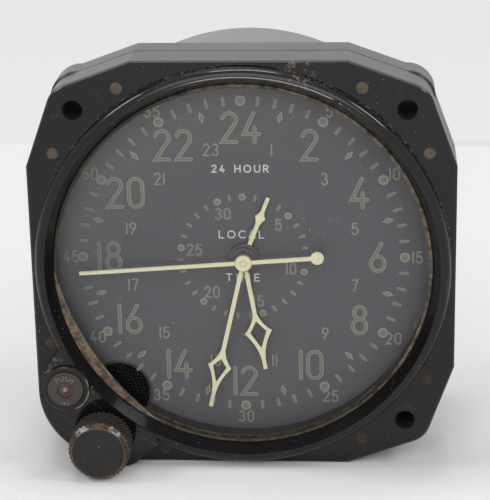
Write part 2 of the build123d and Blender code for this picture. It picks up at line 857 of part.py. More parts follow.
def button_spring():
    """Return spring round the rod, between the button and the floor of its bore."""
    height = button_floor_y - button_rear_y - 2 * spring_gap
    radius = (rod_r + button_r) / 2
    path = Helix(pitch=height / spring_coils, height=height, radius=radius, direction=(0, 1, 0))
    path = Pos(button_at[0], button_rear_y + spring_gap, button_at[1]) * path
    wire = Plane(origin=path @ 0, z_dir=path % 0) * RegularPolygon(spring_wire_r, 4)
    return sweep(wire, path=path)


def date_slide():
    """Bar behind the dial that the rod's taper pushes inward to move the date wheel on by a tooth."""
    half = slide_width / 2
    bar = outline([(slide_beak_at, 0), (slide_beak_at + half, -half), (slide_tail_at, -half),
                   (slide_tail_at, half), (slide_beak_at + half, half)])
    pin_half = slide_pin_r + running_gap
    slot_in = slide_pin_at - pin_half
    slot_out = slide_pin_at + slide_travel + pin_half
    slot = outline([(slot_in, -pin_half), (slot_out, -pin_half), (slot_out, pin_half), (slot_in, pin_half)])
    return slab(Rot(0, 0, date_deg) * (bar - slot), date_wheel_y, date_wheel_y + date_wheel_thick)


def date_jumper():
    """Flat detent spring beside the date wheel, with its foot on the main plate."""
    nose = polar(date_wheel_r + jumper_gap, jumper_deg)
    along = heading(nose, jumper_foot)
    neck = polar(jumper_nose, along, nose)
    strip = outline([nose, polar(jumper_half, along - 90, neck), polar(jumper_half, along - 90, jumper_foot),
                     polar(jumper_half, along + 90, jumper_foot), polar(jumper_half, along + 90, neck)])
    body = slab(strip + at(jumper_foot, Circle(jumper_foot_r)), date_wheel_y, date_wheel_y + date_wheel_thick)
    return body + disc(jumper_foot_r, date_wheel_y, main_plate_y, jumper_foot)


# Hands
def bowed(start, end):
    """Arc between two points that is hollow on its left, the outer side of a hand."""
    half = distance(start, end) / 2
    along = heading(start, end)
    middle = polar(half, along, start)
    return ThreePointArc(start, polar(2 * half * hand_bow, along + 90, middle), end)


def diamond_hand(tip, throat, neck, wide, half, slot, hub_r, hole):
    """Flat hand that points up, with a hollow-sided diamond near its tip and a round hub."""
    shaft = Polyline((0, tip), (0, 0), (hand_shaft_half, 0), (hand_shaft_half, neck))
    point = Polyline((hand_tip_half, throat), (hand_tip_half, tip), (0, tip))
    arms = bowed((hand_shaft_half, neck), (half, wide)) + bowed((half, wide), (hand_tip_half, throat))
    right = make_face(shaft + arms + point)
    sketch = right + mirror(right, Plane.YZ)
    if slot:
        inner, outer, slot_half = slot
        sketch = sketch - outline([(0, inner), (slot_half, wide), (0, outer), (-slot_half, wide)])
    return sketch + Circle(hub_r) - Circle(hole)


def hand_plate(sketch, angle, depth):
    return slab(Rot(0, 0, -angle) * sketch, front_y + depth, front_y + depth + hand_thick)


def second_hand():
    bar = outline([(second_tail_half, -second_tail), (second_tip_half, second_tip),
                   (-second_tip_half, second_tip), (-second_tail_half, -second_tail)])
    sketch = bar + Circle(second_hub_r) + Pos(0, -second_tail) * Circle(second_tail_r)
    blade = hand_plate(sketch, second_angle, second_hand_depth)
    blade_y = front_y + second_hand_depth
    hub = disc(second_hub_r, blade_y - second_hub_rise, blade_y + hand_thick / 2)
    hub = fillet(edges_at(hub, blade_y - second_hub_rise), second_hub_fillet)
    return blade + hub - disc(seconds_arbor_r + fixed_gap, blade_y - hand_grip, 0)


def minute_hand():
    slot = (minute_slot_in, minute_slot_out, minute_slot_half)
    sketch = diamond_hand(minute_tip, minute_throat, minute_neck, minute_wide, minute_half, slot,
                          centre_tube_r + minute_hub_wall, centre_tube_r + fixed_gap)
    return hand_plate(sketch, minute_angle, minute_hand_depth)


def hour_hand():
    slot = (hour_slot_in, hour_slot_out, hour_slot_half)
    sketch = diamond_hand(hour_tip, hour_throat, hour_neck, hour_wide, hour_half, slot,
                          hour_pipe_r + hour_hub_wall, hour_pipe_r + fixed_gap)
    return hand_plate(sketch, hour_angle, hour_hand_depth)


def date_hand():
    sketch = diamond_hand(date_tip, date_throat, date_neck, date_wide, date_half, None,
                          date_pipe_r + date_hub_wall, date_pipe_r + fixed_gap)
    return hand_plate(sketch, date_angle, date_hand_depth)


# Arbor, pipes and wheels on the dial axis
def seconds_arbor():
    front = front_y + second_hand_depth - hand_grip + fixed_gap
    body = disc(seconds_arbor_r, front, back_plate_y - end_shake)
    body = body + disc(pivot_r, back_plate_y - wheel_gap, back_plate_y + pivot_length)
    sketch = pinion_sketch(seconds_pinion_teeth, third_module, third_deg)
    teeth_rear = third_wheel_y + wheel_thick + pinion_spare
    return body + gear(sketch, (0, 0), third_wheel_y - pinion_spare, teeth_rear)


def fourth_wheel():
    sketch = wheel_sketch(fourth_teeth, fourth_module, escape_deg)
    return gear(sketch, (0, 0), fourth_wheel_y, fourth_wheel_y + wheel_thick, seconds_arbor_r + fixed_gap)


def centre_arbor():
    front = front_y + minute_hand_depth - hand_grip
    teeth_rear = intermediate_wheel_y + wheel_thick + pinion_spare
    body = disc(centre_tube_r, front, teeth_rear + end_shake)
    sketch = pinion_sketch(centre_pinion_teeth, intermediate_module, idler_deg)
    body = body + gear(sketch, (0, 0), intermediate_wheel_y - pinion_spare, teeth_rear)
    return body - disc(centre_tube_in, front_y, teeth_rear + over)


def centre_wheel():
    sketch = wheel_sketch(centre_teeth, centre_module, third_deg)
    return gear(sketch, (0, 0), centre_wheel_y, centre_wheel_y + wheel_thick, centre_tube_r + fixed_gap)


def cannon_pinion():
    sketch = pinion_sketch(cannon_teeth, cannon_module, motion_deg)
    rear = cannon_y + wheel_thick + pinion_spare
    return gear(sketch, (0, 0), cannon_y - pinion_spare, rear, centre_tube_r + fixed_gap)


def hour_wheel():
    sketch = wheel_sketch(hour_wheel_teeth, hour_module, motion_deg)
    body = gear(sketch, (0, 0), hour_wheel_y, hour_wheel_y + hour_wheel_thick)
    pipe_front = front_y + hour_hand_depth - hand_grip
    body = body + disc(hour_pipe_r, pipe_front, hour_wheel_y + hour_wheel_thick / 2)
    return body - disc(hour_pipe_in, front_y, 0)


def date_wheel():
    step = 360 / date_teeth
    points = []
    for index in range(date_teeth):
        points.append(polar(date_wheel_r - date_tooth, (index - 0.5) * step))
        points.append(polar(date_wheel_r, index * step))
    body = slab(outline(points), date_wheel_y, date_wheel_y + date_wheel_thick)
    pipe_front = front_y + date_hand_depth - hand_grip
    body = body + disc(date_pipe_r, pipe_front, date_wheel_y + date_wheel_thick / 2)
    return body - disc(date_pipe_in, front_y, 0)


def minute_wheel():
    wheel_phase = mesh_phase(minute_wheel_teeth, cannon_teeth, motion_deg, motion_deg)
    pinion_phase = mesh_phase(minute_pinion_teeth, hour_wheel_teeth, motion_deg, motion_deg)
    wheel = gear(wheel_sketch(minute_wheel_teeth, cannon_module, wheel_phase), motion_at,
                 cannon_y, cannon_y + wheel_thick)
    pinion = gear(pinion_sketch(minute_pinion_teeth, hour_module, pinion_phase), motion_at,
                  hour_wheel_y - pinion_spare, cannon_y + wheel_thick / 2)
    return wheel + pinion - disc(pivot_r + running_gap, dial_rear_y, 0, motion_at)


# Train wheels between the plates
def arbor(place, radius=arbor_r):
    body = disc(radius, main_plate_rear + end_shake, back_plate_y - end_shake, place)
    return body + disc(pivot_r, main_plate_rear - pivot_length, back_plate_y + pivot_length, place)


def third_wheel():
    pinion_phase = mesh_phase(third_pinion_teeth, centre_teeth, third_deg, third_deg)
    wheel_phase = mesh_phase(third_teeth, seconds_pinion_teeth, third_deg, third_deg)
    pinion = gear(pinion_sketch(third_pinion_teeth, centre_module, pinion_phase), third_at,
                  centre_wheel_y - pinion_spare, centre_wheel_y + wheel_thick + pinion_spare)
    wheel = gear(wheel_sketch(third_teeth, third_module, wheel_phase), third_at,
                 third_wheel_y, third_wheel_y + wheel_thick)
    return arbor(third_at) + pinion + wheel


def intermediate_wheel():
    wheel_phase = mesh_phase(intermediate_teeth, centre_pinion_teeth, idler_deg, idler_deg)
    wheel = gear(wheel_sketch(intermediate_teeth, intermediate_module, wheel_phase), intermediate_at,
                 intermediate_wheel_y, intermediate_wheel_y + wheel_thick)
    pinion = gear(pinion_sketch(intermediate_pinion_teeth, barrel_module, idler_deg), intermediate_at,
                  barrel_teeth_y - pinion_spare, barrel_teeth_y + barrel_teeth_thick + pinion_spare)
    return arbor(intermediate_at) + wheel + pinion


def spring_barrel():
    """Mainspring drum with the great wheel's teeth round its front end."""
    phase = mesh_phase(barrel_teeth, intermediate_pinion_teeth, idler_deg, idler_deg)
    body = gear(wheel_sketch(barrel_teeth, barrel_module, phase), barrel_at,
                barrel_teeth_y, barrel_teeth_y + barrel_teeth_thick)
    body = body + disc(barrel_drum_r, barrel_teeth_y, barrel_rear_y, barrel_at)
    inside_r = barrel_drum_r - barrel_wall
    body = body - disc(inside_r, barrel_teeth_y + barrel_wall, barrel_rear_y - barrel_wall, barrel_at)
    return body - disc(barrel_arbor_r + running_gap, barrel_teeth_y - over, barrel_rear_y + over, barrel_at)


def barrel_arbor():
    shoulder_r = barrel_arbor_r + barrel_shoulder
    body = disc(barrel_arbor_r, winding_y - end_shake, back_plate_y - end_shake, barrel_at)
    body = body + disc(shoulder_r, main_plate_rear + end_shake, barrel_teeth_y - end_shake, barrel_at)
    body = body + disc(shoulder_r, barrel_rear_y + end_shake, back_plate_y - end_shake, barrel_at)
    return body + disc(barrel_pivot_r, back_plate_y - wheel_gap, back_plate_y + pivot_length, barrel_at)


def spiral_strip(inner_r, start_deg, turns, pitch, strip, y_front, y_rear, place):
    """Flat spiral spring laid out in short straight runs."""
    inside = []
    outside = []
    for index in range(int(turns * spiral_runs) + 1):
        radius = inner_r + pitch * index / spiral_runs
        angle = start_deg + 360 * index / spiral_runs
        inside.append(polar(radius, angle))
        outside.append(polar(radius + strip, angle))
    return slab(at(place, outline(inside + outside[::-1])), y_front, y_rear)


def mainspring():
    inner_r = barrel_arbor_r + mainspring_gap
    outer_r = barrel_drum_r - barrel_wall - mainspring_gap
    pitch = (outer_r - inner_r - mainspring_strip) / mainspring_turns
    return spiral_strip(inner_r, 0, mainspring_turns, pitch, mainspring_strip,
                        barrel_teeth_y + barrel_wall + mainspring_gap,
                        barrel_rear_y - barrel_wall - mainspring_gap, barrel_at)


# Escapement and balance
def escape_wheel():
    step = 360 / escape_teeth
    points = []
    for index in range(escape_teeth):
        points.append(polar(escape_root_r, index * step))
        points.append(polar(escape_r, (index + 0.35) * step))
        points.append(polar(escape_root_r, (index + 0.55) * step))
    wheel = slab(at(escape_at, outline(points)), escape_wheel_y, escape_wheel_y + escape_thick)
    phase = mesh_phase(escape_pinion_teeth, fourth_teeth, escape_deg, escape_deg)
    pinion = gear(pinion_sketch(escape_pinion_teeth, fourth_module, phase), escape_at,
                  fourth_wheel_y - pinion_spare, fourth_wheel_y + wheel_thick + pinion_spare)
    return arbor(escape_at, pivot_r) + wheel + pinion


def taper(start, end, start_half, end_half):
    """Straight arm between two points, with its own half width at each end."""
    along = heading(start, end)
    return outline([polar(start_half, along + 90, start), polar(start_half, along - 90, start),
                    polar(end_half, along - 90, end), polar(end_half, along + 90, end)])


def pallet_fork():
    sketch = at(pallet_at, Circle(pallet_hub_r))
    for side in (-1, 1):
        tip = polar(pallet_arm, pallet_deg + 180 + side * pallet_spread_deg, pallet_at)
        sketch = sketch + taper(pallet_at, tip, lever_half, pallet_half)
    lever_tip = polar(balance_distance - roller_r - roller_gap, balance_deg, pallet_at)
    sketch = sketch + taper(pallet_at, lever_tip, lever_half, lever_half)
    sketch = sketch - at(lever_tip, Circle(lever_slot_r))
    return slab(sketch, escape_wheel_y, escape_wheel_y + escape_thick) + arbor(pallet_at, pivot_r)


def balance_wheel():
    rim = Circle(balance_r) - Circle(balance_r - balance_rim)
    sketch = rim + Rectangle(2 * balance_r - balance_rim, 2 * balance_bar_half) + Circle(roller_r)
    body = slab(at(balance_at, sketch), balance_y, balance_y + balance_thick)
    body = body + disc(roller_r, escape_wheel_y, escape_wheel_y + escape_thick, balance_at)
    body = body + disc(collet_r, hairspring_y, hairspring_y + hairspring_height, balance_at)
    body = body + disc(staff_r, main_plate_rear + end_shake, cock_y - end_shake, balance_at)
    return body + disc(staff_pivot_r, main_plate_rear - pivot_length, cock_y + cock_thick / 2, balance_at)


def hairspring():
    return spiral_strip(collet_r + hairspring_start, cock_foot_deg, hairspring_turns, hairspring_pitch,
                        hairspring_strip, hairspring_y, hairspring_y + hairspring_height, balance_at)


def balance_cock():
    cock_rear = cock_y + cock_thick
    body = disc(cock_foot_r, main_plate_rear, cock_rear, cock_foot_at)
    bar = taper(cock_foot_at, balance_at, cock_foot_r, cock_head_r) + at(balance_at, Circle(cock_head_r))
    body = body + slab(bar, cock_y, cock_rear)
    spring_out = collet_r + hairspring_start + hairspring_turns * hairspring_pitch + hairspring_strip
    stud_at = polar(spring_out + running_gap + stud_r, cock_foot_deg, balance_at)
    body = body + disc(stud_r, hairspring_y, cock_y + cock_thick / 2, stud_at)
    pivot_end = cock_y + cock_thick / 2 + end_shake
    body = body - disc(staff_pivot_r + running_gap, cock_y - over, pivot_end, balance_at)
    return body - disc(plate_screw_r + fixed_gap, main_plate_rear - over, cock_rear + over, cock_foot_at)


# Plates and what holds them
def main_plate():
    sketch = Circle(main_plate_r) + at(idler_at, Circle(ear_r))
    body = slab(sketch, main_plate_y, main_plate_rear)
    pivot_floor = main_plate_rear - pivot_length - pivot_room
    for place in (third_at, intermediate_at, escape_at, pallet_at):
        body = body - disc(pivot_r + running_gap, pivot_floor, main_plate_rear + over, place)
    body = body - disc(staff_pivot_r + running_gap, pivot_floor, main_plate_rear + over, balance_at)
    body = body - disc(centre_tube_r + running_gap, main_plate_y - over, main_plate_rear + over)
    body = body - disc(barrel_arbor_r + running_gap, main_plate_y - over, main_plate_rear + over, barrel_at)
    for place in movement_screw_places + pillar_places + [cock_foot_at]:
        body = body - disc(plate_screw_r + fixed_gap, main_plate_y - over, main_plate_rear + over, place)
    root = main_plate_y + main_plate_thick / 2
    body = body + disc(pivot_r, hour_wheel_y - pinion_spare, root, motion_at)
    body = body + disc(idler_post_r, cover_rear_y, root, idler_at)
    body = body + disc(slide_pin_r, date_wheel_y - slide_gap, root, polar(slide_pin_at, date_deg))
    return body + disc(click_pin_r, winding_y - end_shake, root, click_pin_at)


def back_plate():
    sketch = Circle(back_plate_r) - at(balance_at, Circle(balance_r + balance_clear))
    body = slab(sketch, back_plate_y, back_plate_rear)
    pivot_end = back_plate_y + pivot_length + pivot_room
    for place in ((0, 0), third_at, intermediate_at, escape_at, pallet_at):
        body = body - disc(pivot_r + running_gap, back_plate_y - over, pivot_end, place)
    body = body - disc(barrel_pivot_r + running_gap, back_plate_y - over, pivot_end, barrel_at)
    for place in pillar_places:
        body = body - disc(plate_screw_r + fixed_gap, back_plate_y - over, back_plate_rear + over, place)
    return body


def plate_pillars():
    pieces = []
    screw_hole_r = plate_screw_r + fixed_gap
    hole_depth = plate_screw_grip + screw_hole_end
    for place in pillar_places:
        pillar = disc(pillar_r, main_plate_rear, back_plate_y, place)
        pillar = pillar - disc(screw_hole_r, main_plate_rear, main_plate_rear + hole_depth, place)
        pieces.append(pillar - disc(screw_hole_r, back_plate_y - hole_depth, back_plate_y, place))
    return joined(pieces)


def plate_screw(place, seat_y, outward, length):
    return slotted_screw(place, seat_y, outward, plate_screw_r, plate_screw_head_r, plate_screw_head,
                         length)


def plate_screws():
    pieces = []
    for place in pillar_places:
        pieces.append(plate_screw(place, back_plate_rear, 1, back_plate_thick + plate_screw_grip))
        pieces.append(plate_screw(place, main_plate_y, -1, main_plate_thick + plate_screw_grip))
    foot_height = cock_y + cock_thick - main_plate_rear
    pieces.append(plate_screw(cock_foot_at, cock_y + cock_thick, 1, foot_height + main_plate_thick / 2))
    return joined(pieces)


def movement_screws():
    length = main_plate_thick + ledge_thick - clip_gap
    return joined([plate_screw(place, main_plate_y, -1, length) for place in movement_screw_places])


node_makers = [
    bezel, crystal, crystal_seal, crystal_gasket, dial_spacer, dial, gear_cover, case, bezel_screws,
    rear_cover, rear_cover_screws, knob, winding_stem, stem_clip, winding_pinion, winding_idler,
    ratchet_wheel, ratchet_click, button_collar, date_button, button_rod, button_spring, date_slide,
    date_jumper, second_hand, minute_hand, hour_hand, date_hand, seconds_arbor, fourth_wheel,
    centre_arbor, centre_wheel, cannon_pinion, minute_wheel, hour_wheel, date_wheel, third_wheel,
    intermediate_wheel, spring_barrel, barrel_arbor, mainspring, escape_wheel, pallet_fork,
    balance_wheel, hairspring, balance_cock, main_plate, back_plate, plate_pillars, plate_screws,
    movement_screws,
]

os.makedirs("parts", exist_ok=True)
for maker in node_makers:
    export_step(maker(), f"parts/{maker.__name__}.step")
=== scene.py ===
import json
from math import atan2, cos, hypot, pi, radians, sin

import bpy
from mathutils import Matrix, Vector


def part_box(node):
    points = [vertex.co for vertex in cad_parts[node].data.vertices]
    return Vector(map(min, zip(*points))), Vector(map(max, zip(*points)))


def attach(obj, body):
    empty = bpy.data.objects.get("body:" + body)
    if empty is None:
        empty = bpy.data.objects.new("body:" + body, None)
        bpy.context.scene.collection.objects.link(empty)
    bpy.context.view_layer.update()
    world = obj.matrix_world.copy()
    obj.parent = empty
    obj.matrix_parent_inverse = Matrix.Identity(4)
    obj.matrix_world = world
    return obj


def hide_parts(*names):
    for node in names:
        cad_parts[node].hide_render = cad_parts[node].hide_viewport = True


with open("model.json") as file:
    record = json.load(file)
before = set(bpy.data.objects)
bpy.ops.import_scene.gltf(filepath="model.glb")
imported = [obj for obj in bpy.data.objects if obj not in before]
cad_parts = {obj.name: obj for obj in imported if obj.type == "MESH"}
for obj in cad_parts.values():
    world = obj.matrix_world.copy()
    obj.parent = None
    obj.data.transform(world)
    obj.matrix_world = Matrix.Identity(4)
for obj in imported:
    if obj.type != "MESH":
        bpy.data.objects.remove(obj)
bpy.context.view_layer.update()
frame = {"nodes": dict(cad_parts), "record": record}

# Scene units are metres, in the frame of the clock: Y runs from the dial into the panel
MM = 0.001
NODES = frame["nodes"]
CASE = "case_body"


def node_box(name):
    """The two opposite corners of a node of the part."""
    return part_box(name)


def node_centre(name):
    """Where the middle of a node lies across the dial, as x and z."""
    low, high = node_box(name)
    return (low.x + high.x) / 2, (low.z + high.z) / 2


def add_object(name, data):
    """Puts a mesh, a lamp or a camera in the scene."""
    obj = bpy.data.objects.new(name, data)
    bpy.context.scene.collection.objects.link(obj)
    return obj


bezel_low = node_box("bezel")[0]
DIAL_Y = node_box("dial")[0].y
FLOOR_Z = bezel_low.z


# Materials: a small kit for node trees
class Tree:
    """A node tree with short calls. Every value handed in is a number, a colour or another node's socket."""

    def __init__(self, name):
        self.material = bpy.data.materials.new(name)
        self.material.use_nodes = True
        self.nodes = self.material.node_tree.nodes
        self.links = self.material.node_tree.links
        self.nodes.clear()
        self.output = self.nodes.new("ShaderNodeOutputMaterial")

    def put(self, socket, value):
        if isinstance(value, bpy.types.NodeSocket):
            self.links.new(value, socket)
        elif isinstance(value, (tuple, list)) and len(value) == 3 and socket.type == "RGBA":
            socket.default_value = (*value, 1.0)
        else:
            socket.default_value = value

    def node(self, kind, **inputs):
        made = self.nodes.new(kind)
        for name, value in inputs.items():
            self.put(made.inputs[name.replace("_", " ")], value)
        return made

    def math(self, operation, a, b=0.0, clamp=False):
        made = self.nodes.new("ShaderNodeMath")
        made.operation = operation
        made.use_clamp = clamp
        self.put(made.inputs[0], a)
        self.put(made.inputs[1], b)
        return made.outputs[0]

    def fold(self, operation, values):
        """The values taken together by one operation, from the first to the last."""
        result = values[0]
        for value in values[1:]:
            result = self.math(operation, result, value)
        return result

    def times(self, *values):
        return self.fold("MULTIPLY", values)

    def plus(self, *values):
        return self.fold("ADD", values)

    def most(self, *values):
        return self.fold("MAXIMUM", values)

    def off(self, value, centre):
        """How far value lies from centre, to either side."""
        return self.math("ABSOLUTE", self.math("SUBTRACT", value, centre))

    def length(self, a, b):
        return self.math("SQRT", self.plus(self.times(a, a), self.times(b, b)))

    def coords(self):
        return self.nodes.new("ShaderNodeTexCoord").outputs["Object"]

    def axes(self):
        split = self.node("ShaderNodeSeparateXYZ", Vector=self.coords())
        return split.outputs["X"], split.outputs["Y"], split.outputs["Z"]

    def radius(self, cx=0.0, cz=0.0):
        """Distance in metres from the line along Y through (cx, cz)."""
        x, _, z = self.axes()
        return self.length(self.math("SUBTRACT", x, cx), self.math("SUBTRACT", z, cz))

    def turn(self):
        """Angle in radians about the dial's axis, counterclockwise from the right."""
        x, _, z = self.axes()
        return self.math("ARCTAN2", z, x)

    def facing(self, axis):
        """How far a face looks along one axis: 1 straight along it, -1 straight back."""
        normal = self.nodes.new("ShaderNodeNewGeometry").outputs["Normal"]
        return self.node("ShaderNodeSeparateXYZ", Vector=normal).outputs[axis]

    def noise(self, scale, detail=2.0, roughness=0.5, stretch=None, distortion=0.0):
        """Noise from 0 to 1, with its scale in cycles to the metre."""
        vector = self.coords()
        if stretch:
            vector = self.node("ShaderNodeMapping", Vector=vector, Scale=stretch).outputs[0]
        made = self.node("ShaderNodeTexNoise", Vector=vector, Scale=scale, Detail=detail,
                         Roughness=roughness, Distortion=distortion)
        return made.outputs[0]

    def ray_noise(self, radius, across, along):
        """Noise drawn out along rays from the dial's centre, across and along in cycles to the metre."""
        bend = self.times(self.turn(), radius * across)
        out = self.times(self.radius(), along)
        vector = self.node("ShaderNodeCombineXYZ", X=bend, Y=out).outputs[0]
        made = self.node("ShaderNodeTexNoise", Vector=vector, Scale=1.0, Detail=4.0, Roughness=0.65)
        return made.outputs[0]

    def spots(self, scale, size):
        """1 inside small round specks scattered through space and 0 elsewhere."""
        cells = self.node("ShaderNodeTexVoronoi", Vector=self.coords(), Scale=scale)
        return self.step(cells.outputs["Distance"], size, size * 0.6)

    def step(self, value, start, end):
        """0 where value is at start or before it and 1 at end or past it, smooth between."""
        made = self.node("ShaderNodeMapRange", Value=value)
        made.interpolation_type = "SMOOTHSTEP"
        made.inputs["From Min"].default_value = start
        made.inputs["From Max"].default_value = end
        return made.outputs[0]

    def circle(self, radius, half, cx=0.0, cz=0.0):
        """1 on a thin circle of that radius about (cx, cz), fading over half to each side."""
        return self.step(self.off(self.radius(cx, cz), radius), half, 0.0)

    def mix(self, factor, a, b):
        made = self.nodes.new("ShaderNodeMix")
        made.data_type = "RGBA"
        self.put(made.inputs[0], factor)
        self.put(made.inputs[6], a)
        self.put(made.inputs[7], b)
        return made.outputs[2]

    def bump(self, height, distance, strength=1.0, normal=None):
        made = self.node("ShaderNodeBump", Height=height, Distance=distance, Strength=strength)
        if normal is not None:
            self.put(made.inputs["Normal"], normal)
        return made.outputs[0]

    def blend(self, factor, first, second):
        """A shader that goes over from the first to the second."""
        made = self.nodes.new("ShaderNodeMixShader")
        for socket, value in zip(made.inputs, (factor, first.outputs[0], second.outputs[0])):
            self.put(socket, value)
        return made

    def finished(self, shader):
        self.links.new(shader.outputs[0], self.output.inputs["Surface"])
        return self.material

    def surface(self, colour, roughness, metallic=0.0, normal=None, specular=0.5):
        made = self.node("ShaderNodeBsdfPrincipled", Base_Color=colour, Roughness=roughness,
                         Metallic=metallic, Specular_IOR_Level=specular)
        if normal is not None:
            self.put(made.inputs["Normal"], normal)
        return self.finished(made)


# Materials of the case
RING_FOOT_R = 40.35 * MM
RING_OUT_R = 40.6 * MM
HOLE_AT = 31.75 * MM
HOLE_R = 1.9 * MM
HOLE_SIDES = ((-1, 1), (1, 1), (1, -1))
BOSS_Y = bezel_low.y
FRONT_Y = BOSS_Y + 3.0 * MM
SEAM_Y = -6.6 * MM
SPILL_AT = (11.2 * MM, 39.6 * MM)
KNOB_SIDE_AT = (-38.6 * MM, -19.5 * MM)


def enamel():
    """Gloss black enamel: dust in specks and on tops, painted light on tops and edges, painted shade in the
    screw holes, grime by the ring and in the seam.
    """
    t = Tree("black_enamel")
    _, y, _ = t.axes()
    r = t.radius()

    # Places on the casting
    front = t.step(y, FRONT_Y + 0.4 * MM, FRONT_Y + 0.1 * MM)
    outer = t.step(r, RING_OUT_R, RING_OUT_R + 0.2 * MM)
    edge = t.times(t.step(y, FRONT_Y, FRONT_Y + 0.15 * MM), t.step(y, 0.1 * MM, 0.0), outer)
    body = t.step(y, 0.0, 0.3 * MM)
    near_front = t.step(t.off(y, FRONT_Y + 0.08 * MM), 0.14 * MM, 0.06 * MM)
    near_boss = t.step(t.off(y, BOSS_Y + 0.1 * MM), 0.22 * MM, 0.1 * MM)
    sideways = t.step(t.math("ABSOLUTE", t.facing("Y")), 0.7, 0.4)

    # Paint, and the specks of dust on it
    colour = t.mix(t.noise(45.0, 4.0, 0.6), (0.0028, 0.0027, 0.0031), (0.0062, 0.0060, 0.0066))
    specks = t.times(t.spots(620.0, 0.12), t.step(t.noise(90.0, 3.0), 0.48, 0.64))
    fine = t.times(t.spots(1300.0, 0.13), t.step(t.noise(140.0, 3.0), 0.46, 0.6), 0.7)
    dust = t.times(t.most(specks, fine), 0.55)
    colour = t.mix(dust, colour, (0.31, 0.275, 0.23))

    # Grime round the foot of the ring, a spill at its top, and rust
    foot = t.times(t.circle(RING_FOOT_R, 0.35 * MM), t.step(t.noise(1500.0, 3.0, 0.7), 0.47, 0.66), front,
                   t.step(t.noise(60.0, 2.0), 0.36, 0.6), 0.6)
    colour = t.mix(foot, colour, (0.18, 0.15, 0.115))
    spill = t.times(t.step(t.radius(*SPILL_AT), 4.6 * MM, 1.0 * MM),
                    t.step(t.noise(750.0, 5.0, 0.75), 0.53, 0.62), front)
    colour = t.mix(t.times(spill, 0.8), colour, (0.22, 0.175, 0.13))
    rust = t.times(t.step(t.noise(120.0, 5.0, 0.7, distortion=1.2), 0.64, 0.72), front, 0.5)
    colour = t.mix(rust, colour, (0.045, 0.03, 0.022))

    # Dust on what faces up, with painted light: the tops are painted paler as if lit from above; and the seam
    # between the two plates
    patchy = t.plus(0.8, t.times(t.noise(55.0, 3.0), 0.4))
    dust_and_top_light = t.times(t.step(t.facing("Z"), 0.3, 0.9), t.plus(t.times(body, 0.55), t.times(edge, 0.24)),
                      patchy)
    colour = t.mix(dust_and_top_light, colour, (0.36, 0.355, 0.35))
    seam = t.times(t.step(t.off(y, SEAM_Y), 0.22 * MM, 0.05 * MM), outer)
    colour = t.mix(t.times(seam, 0.8), colour, (0.022, 0.016, 0.012))

    # Edges brightened by wear and by a painted highlight along the boss's front edge, tan dirt beside the
    # knob, and painted shade inside the screw holes
    broken = t.step(t.noise(700.0, 3.0, 0.7), 0.48, 0.6)
    wear_and_highlight = t.most(t.times(near_front, t.step(t.facing("Z"), 0.5, 0.8), 0.5), t.times(near_boss, 0.65))
    colour = t.mix(t.times(wear_and_highlight, sideways, outer, broken), colour, (0.40, 0.38, 0.35))
    tan_edge = t.times(t.step(t.radius(*KNOB_SIDE_AT), 4.2 * MM, 1.0 * MM),
                       t.step(t.noise(520.0, 5.0, 0.75), 0.52, 0.62), t.step(y, FRONT_Y, FRONT_Y - 0.1 * MM))
    colour = t.mix(t.times(tan_edge, 0.45), colour, (0.20, 0.165, 0.13))
    # Painted shade: the walls of the screw holes are painted near black and made fully rough.
    holes = t.most(*[t.step(t.radius(sx * HOLE_AT, sz * HOLE_AT), HOLE_R + 0.14 * MM, HOLE_R + 0.06 * MM)
                     for sx, sz in HOLE_SIDES])
    colour = t.mix(holes, colour, (0.0004, 0.0004, 0.0004))

    rough = t.plus(t.times(t.noise(160.0, 3.0), 0.06), 0.08, t.times(edge, 0.22), t.times(body, 0.15),
                   t.times(t.most(dust, foot), 0.6))
    scratch = t.step(t.noise(900.0, 2.0, 0.5, stretch=(1.0, 1.0, 0.05)), 0.68, 0.72)
    peel = t.bump(t.noise(500.0, 2.0, 0.5), 0.004 * MM, 0.08)
    normal = t.bump(scratch, 0.006 * MM, 0.12, peel)
    return t.surface(colour, t.most(rough, holes), normal=normal, specular=0.36)


def screw_steel():
    """Screw ends level with the flange, filled over with tan grime and rust, and darker low down."""
    t = Tree("dark_screw_steel")
    mottled = t.noise(900.0, 4.0, 0.7)
    rust = t.step(t.noise(420.0, 3.0, 0.6), 0.5, 0.7)
    colour = t.mix(mottled, (0.022, 0.016, 0.011), (0.185, 0.145, 0.105))
    colour = t.mix(t.times(rust, 0.7), colour, (0.062, 0.033, 0.022))
    low = t.step(t.axes()[2], -12.0 * MM, -18.0 * MM)
    colour = t.mix(t.times(low, 0.8), colour, (0.020, 0.012, 0.010))
    return t.surface(colour, 0.75, normal=t.bump(mottled, 0.06 * MM, 0.8), specular=0.2)


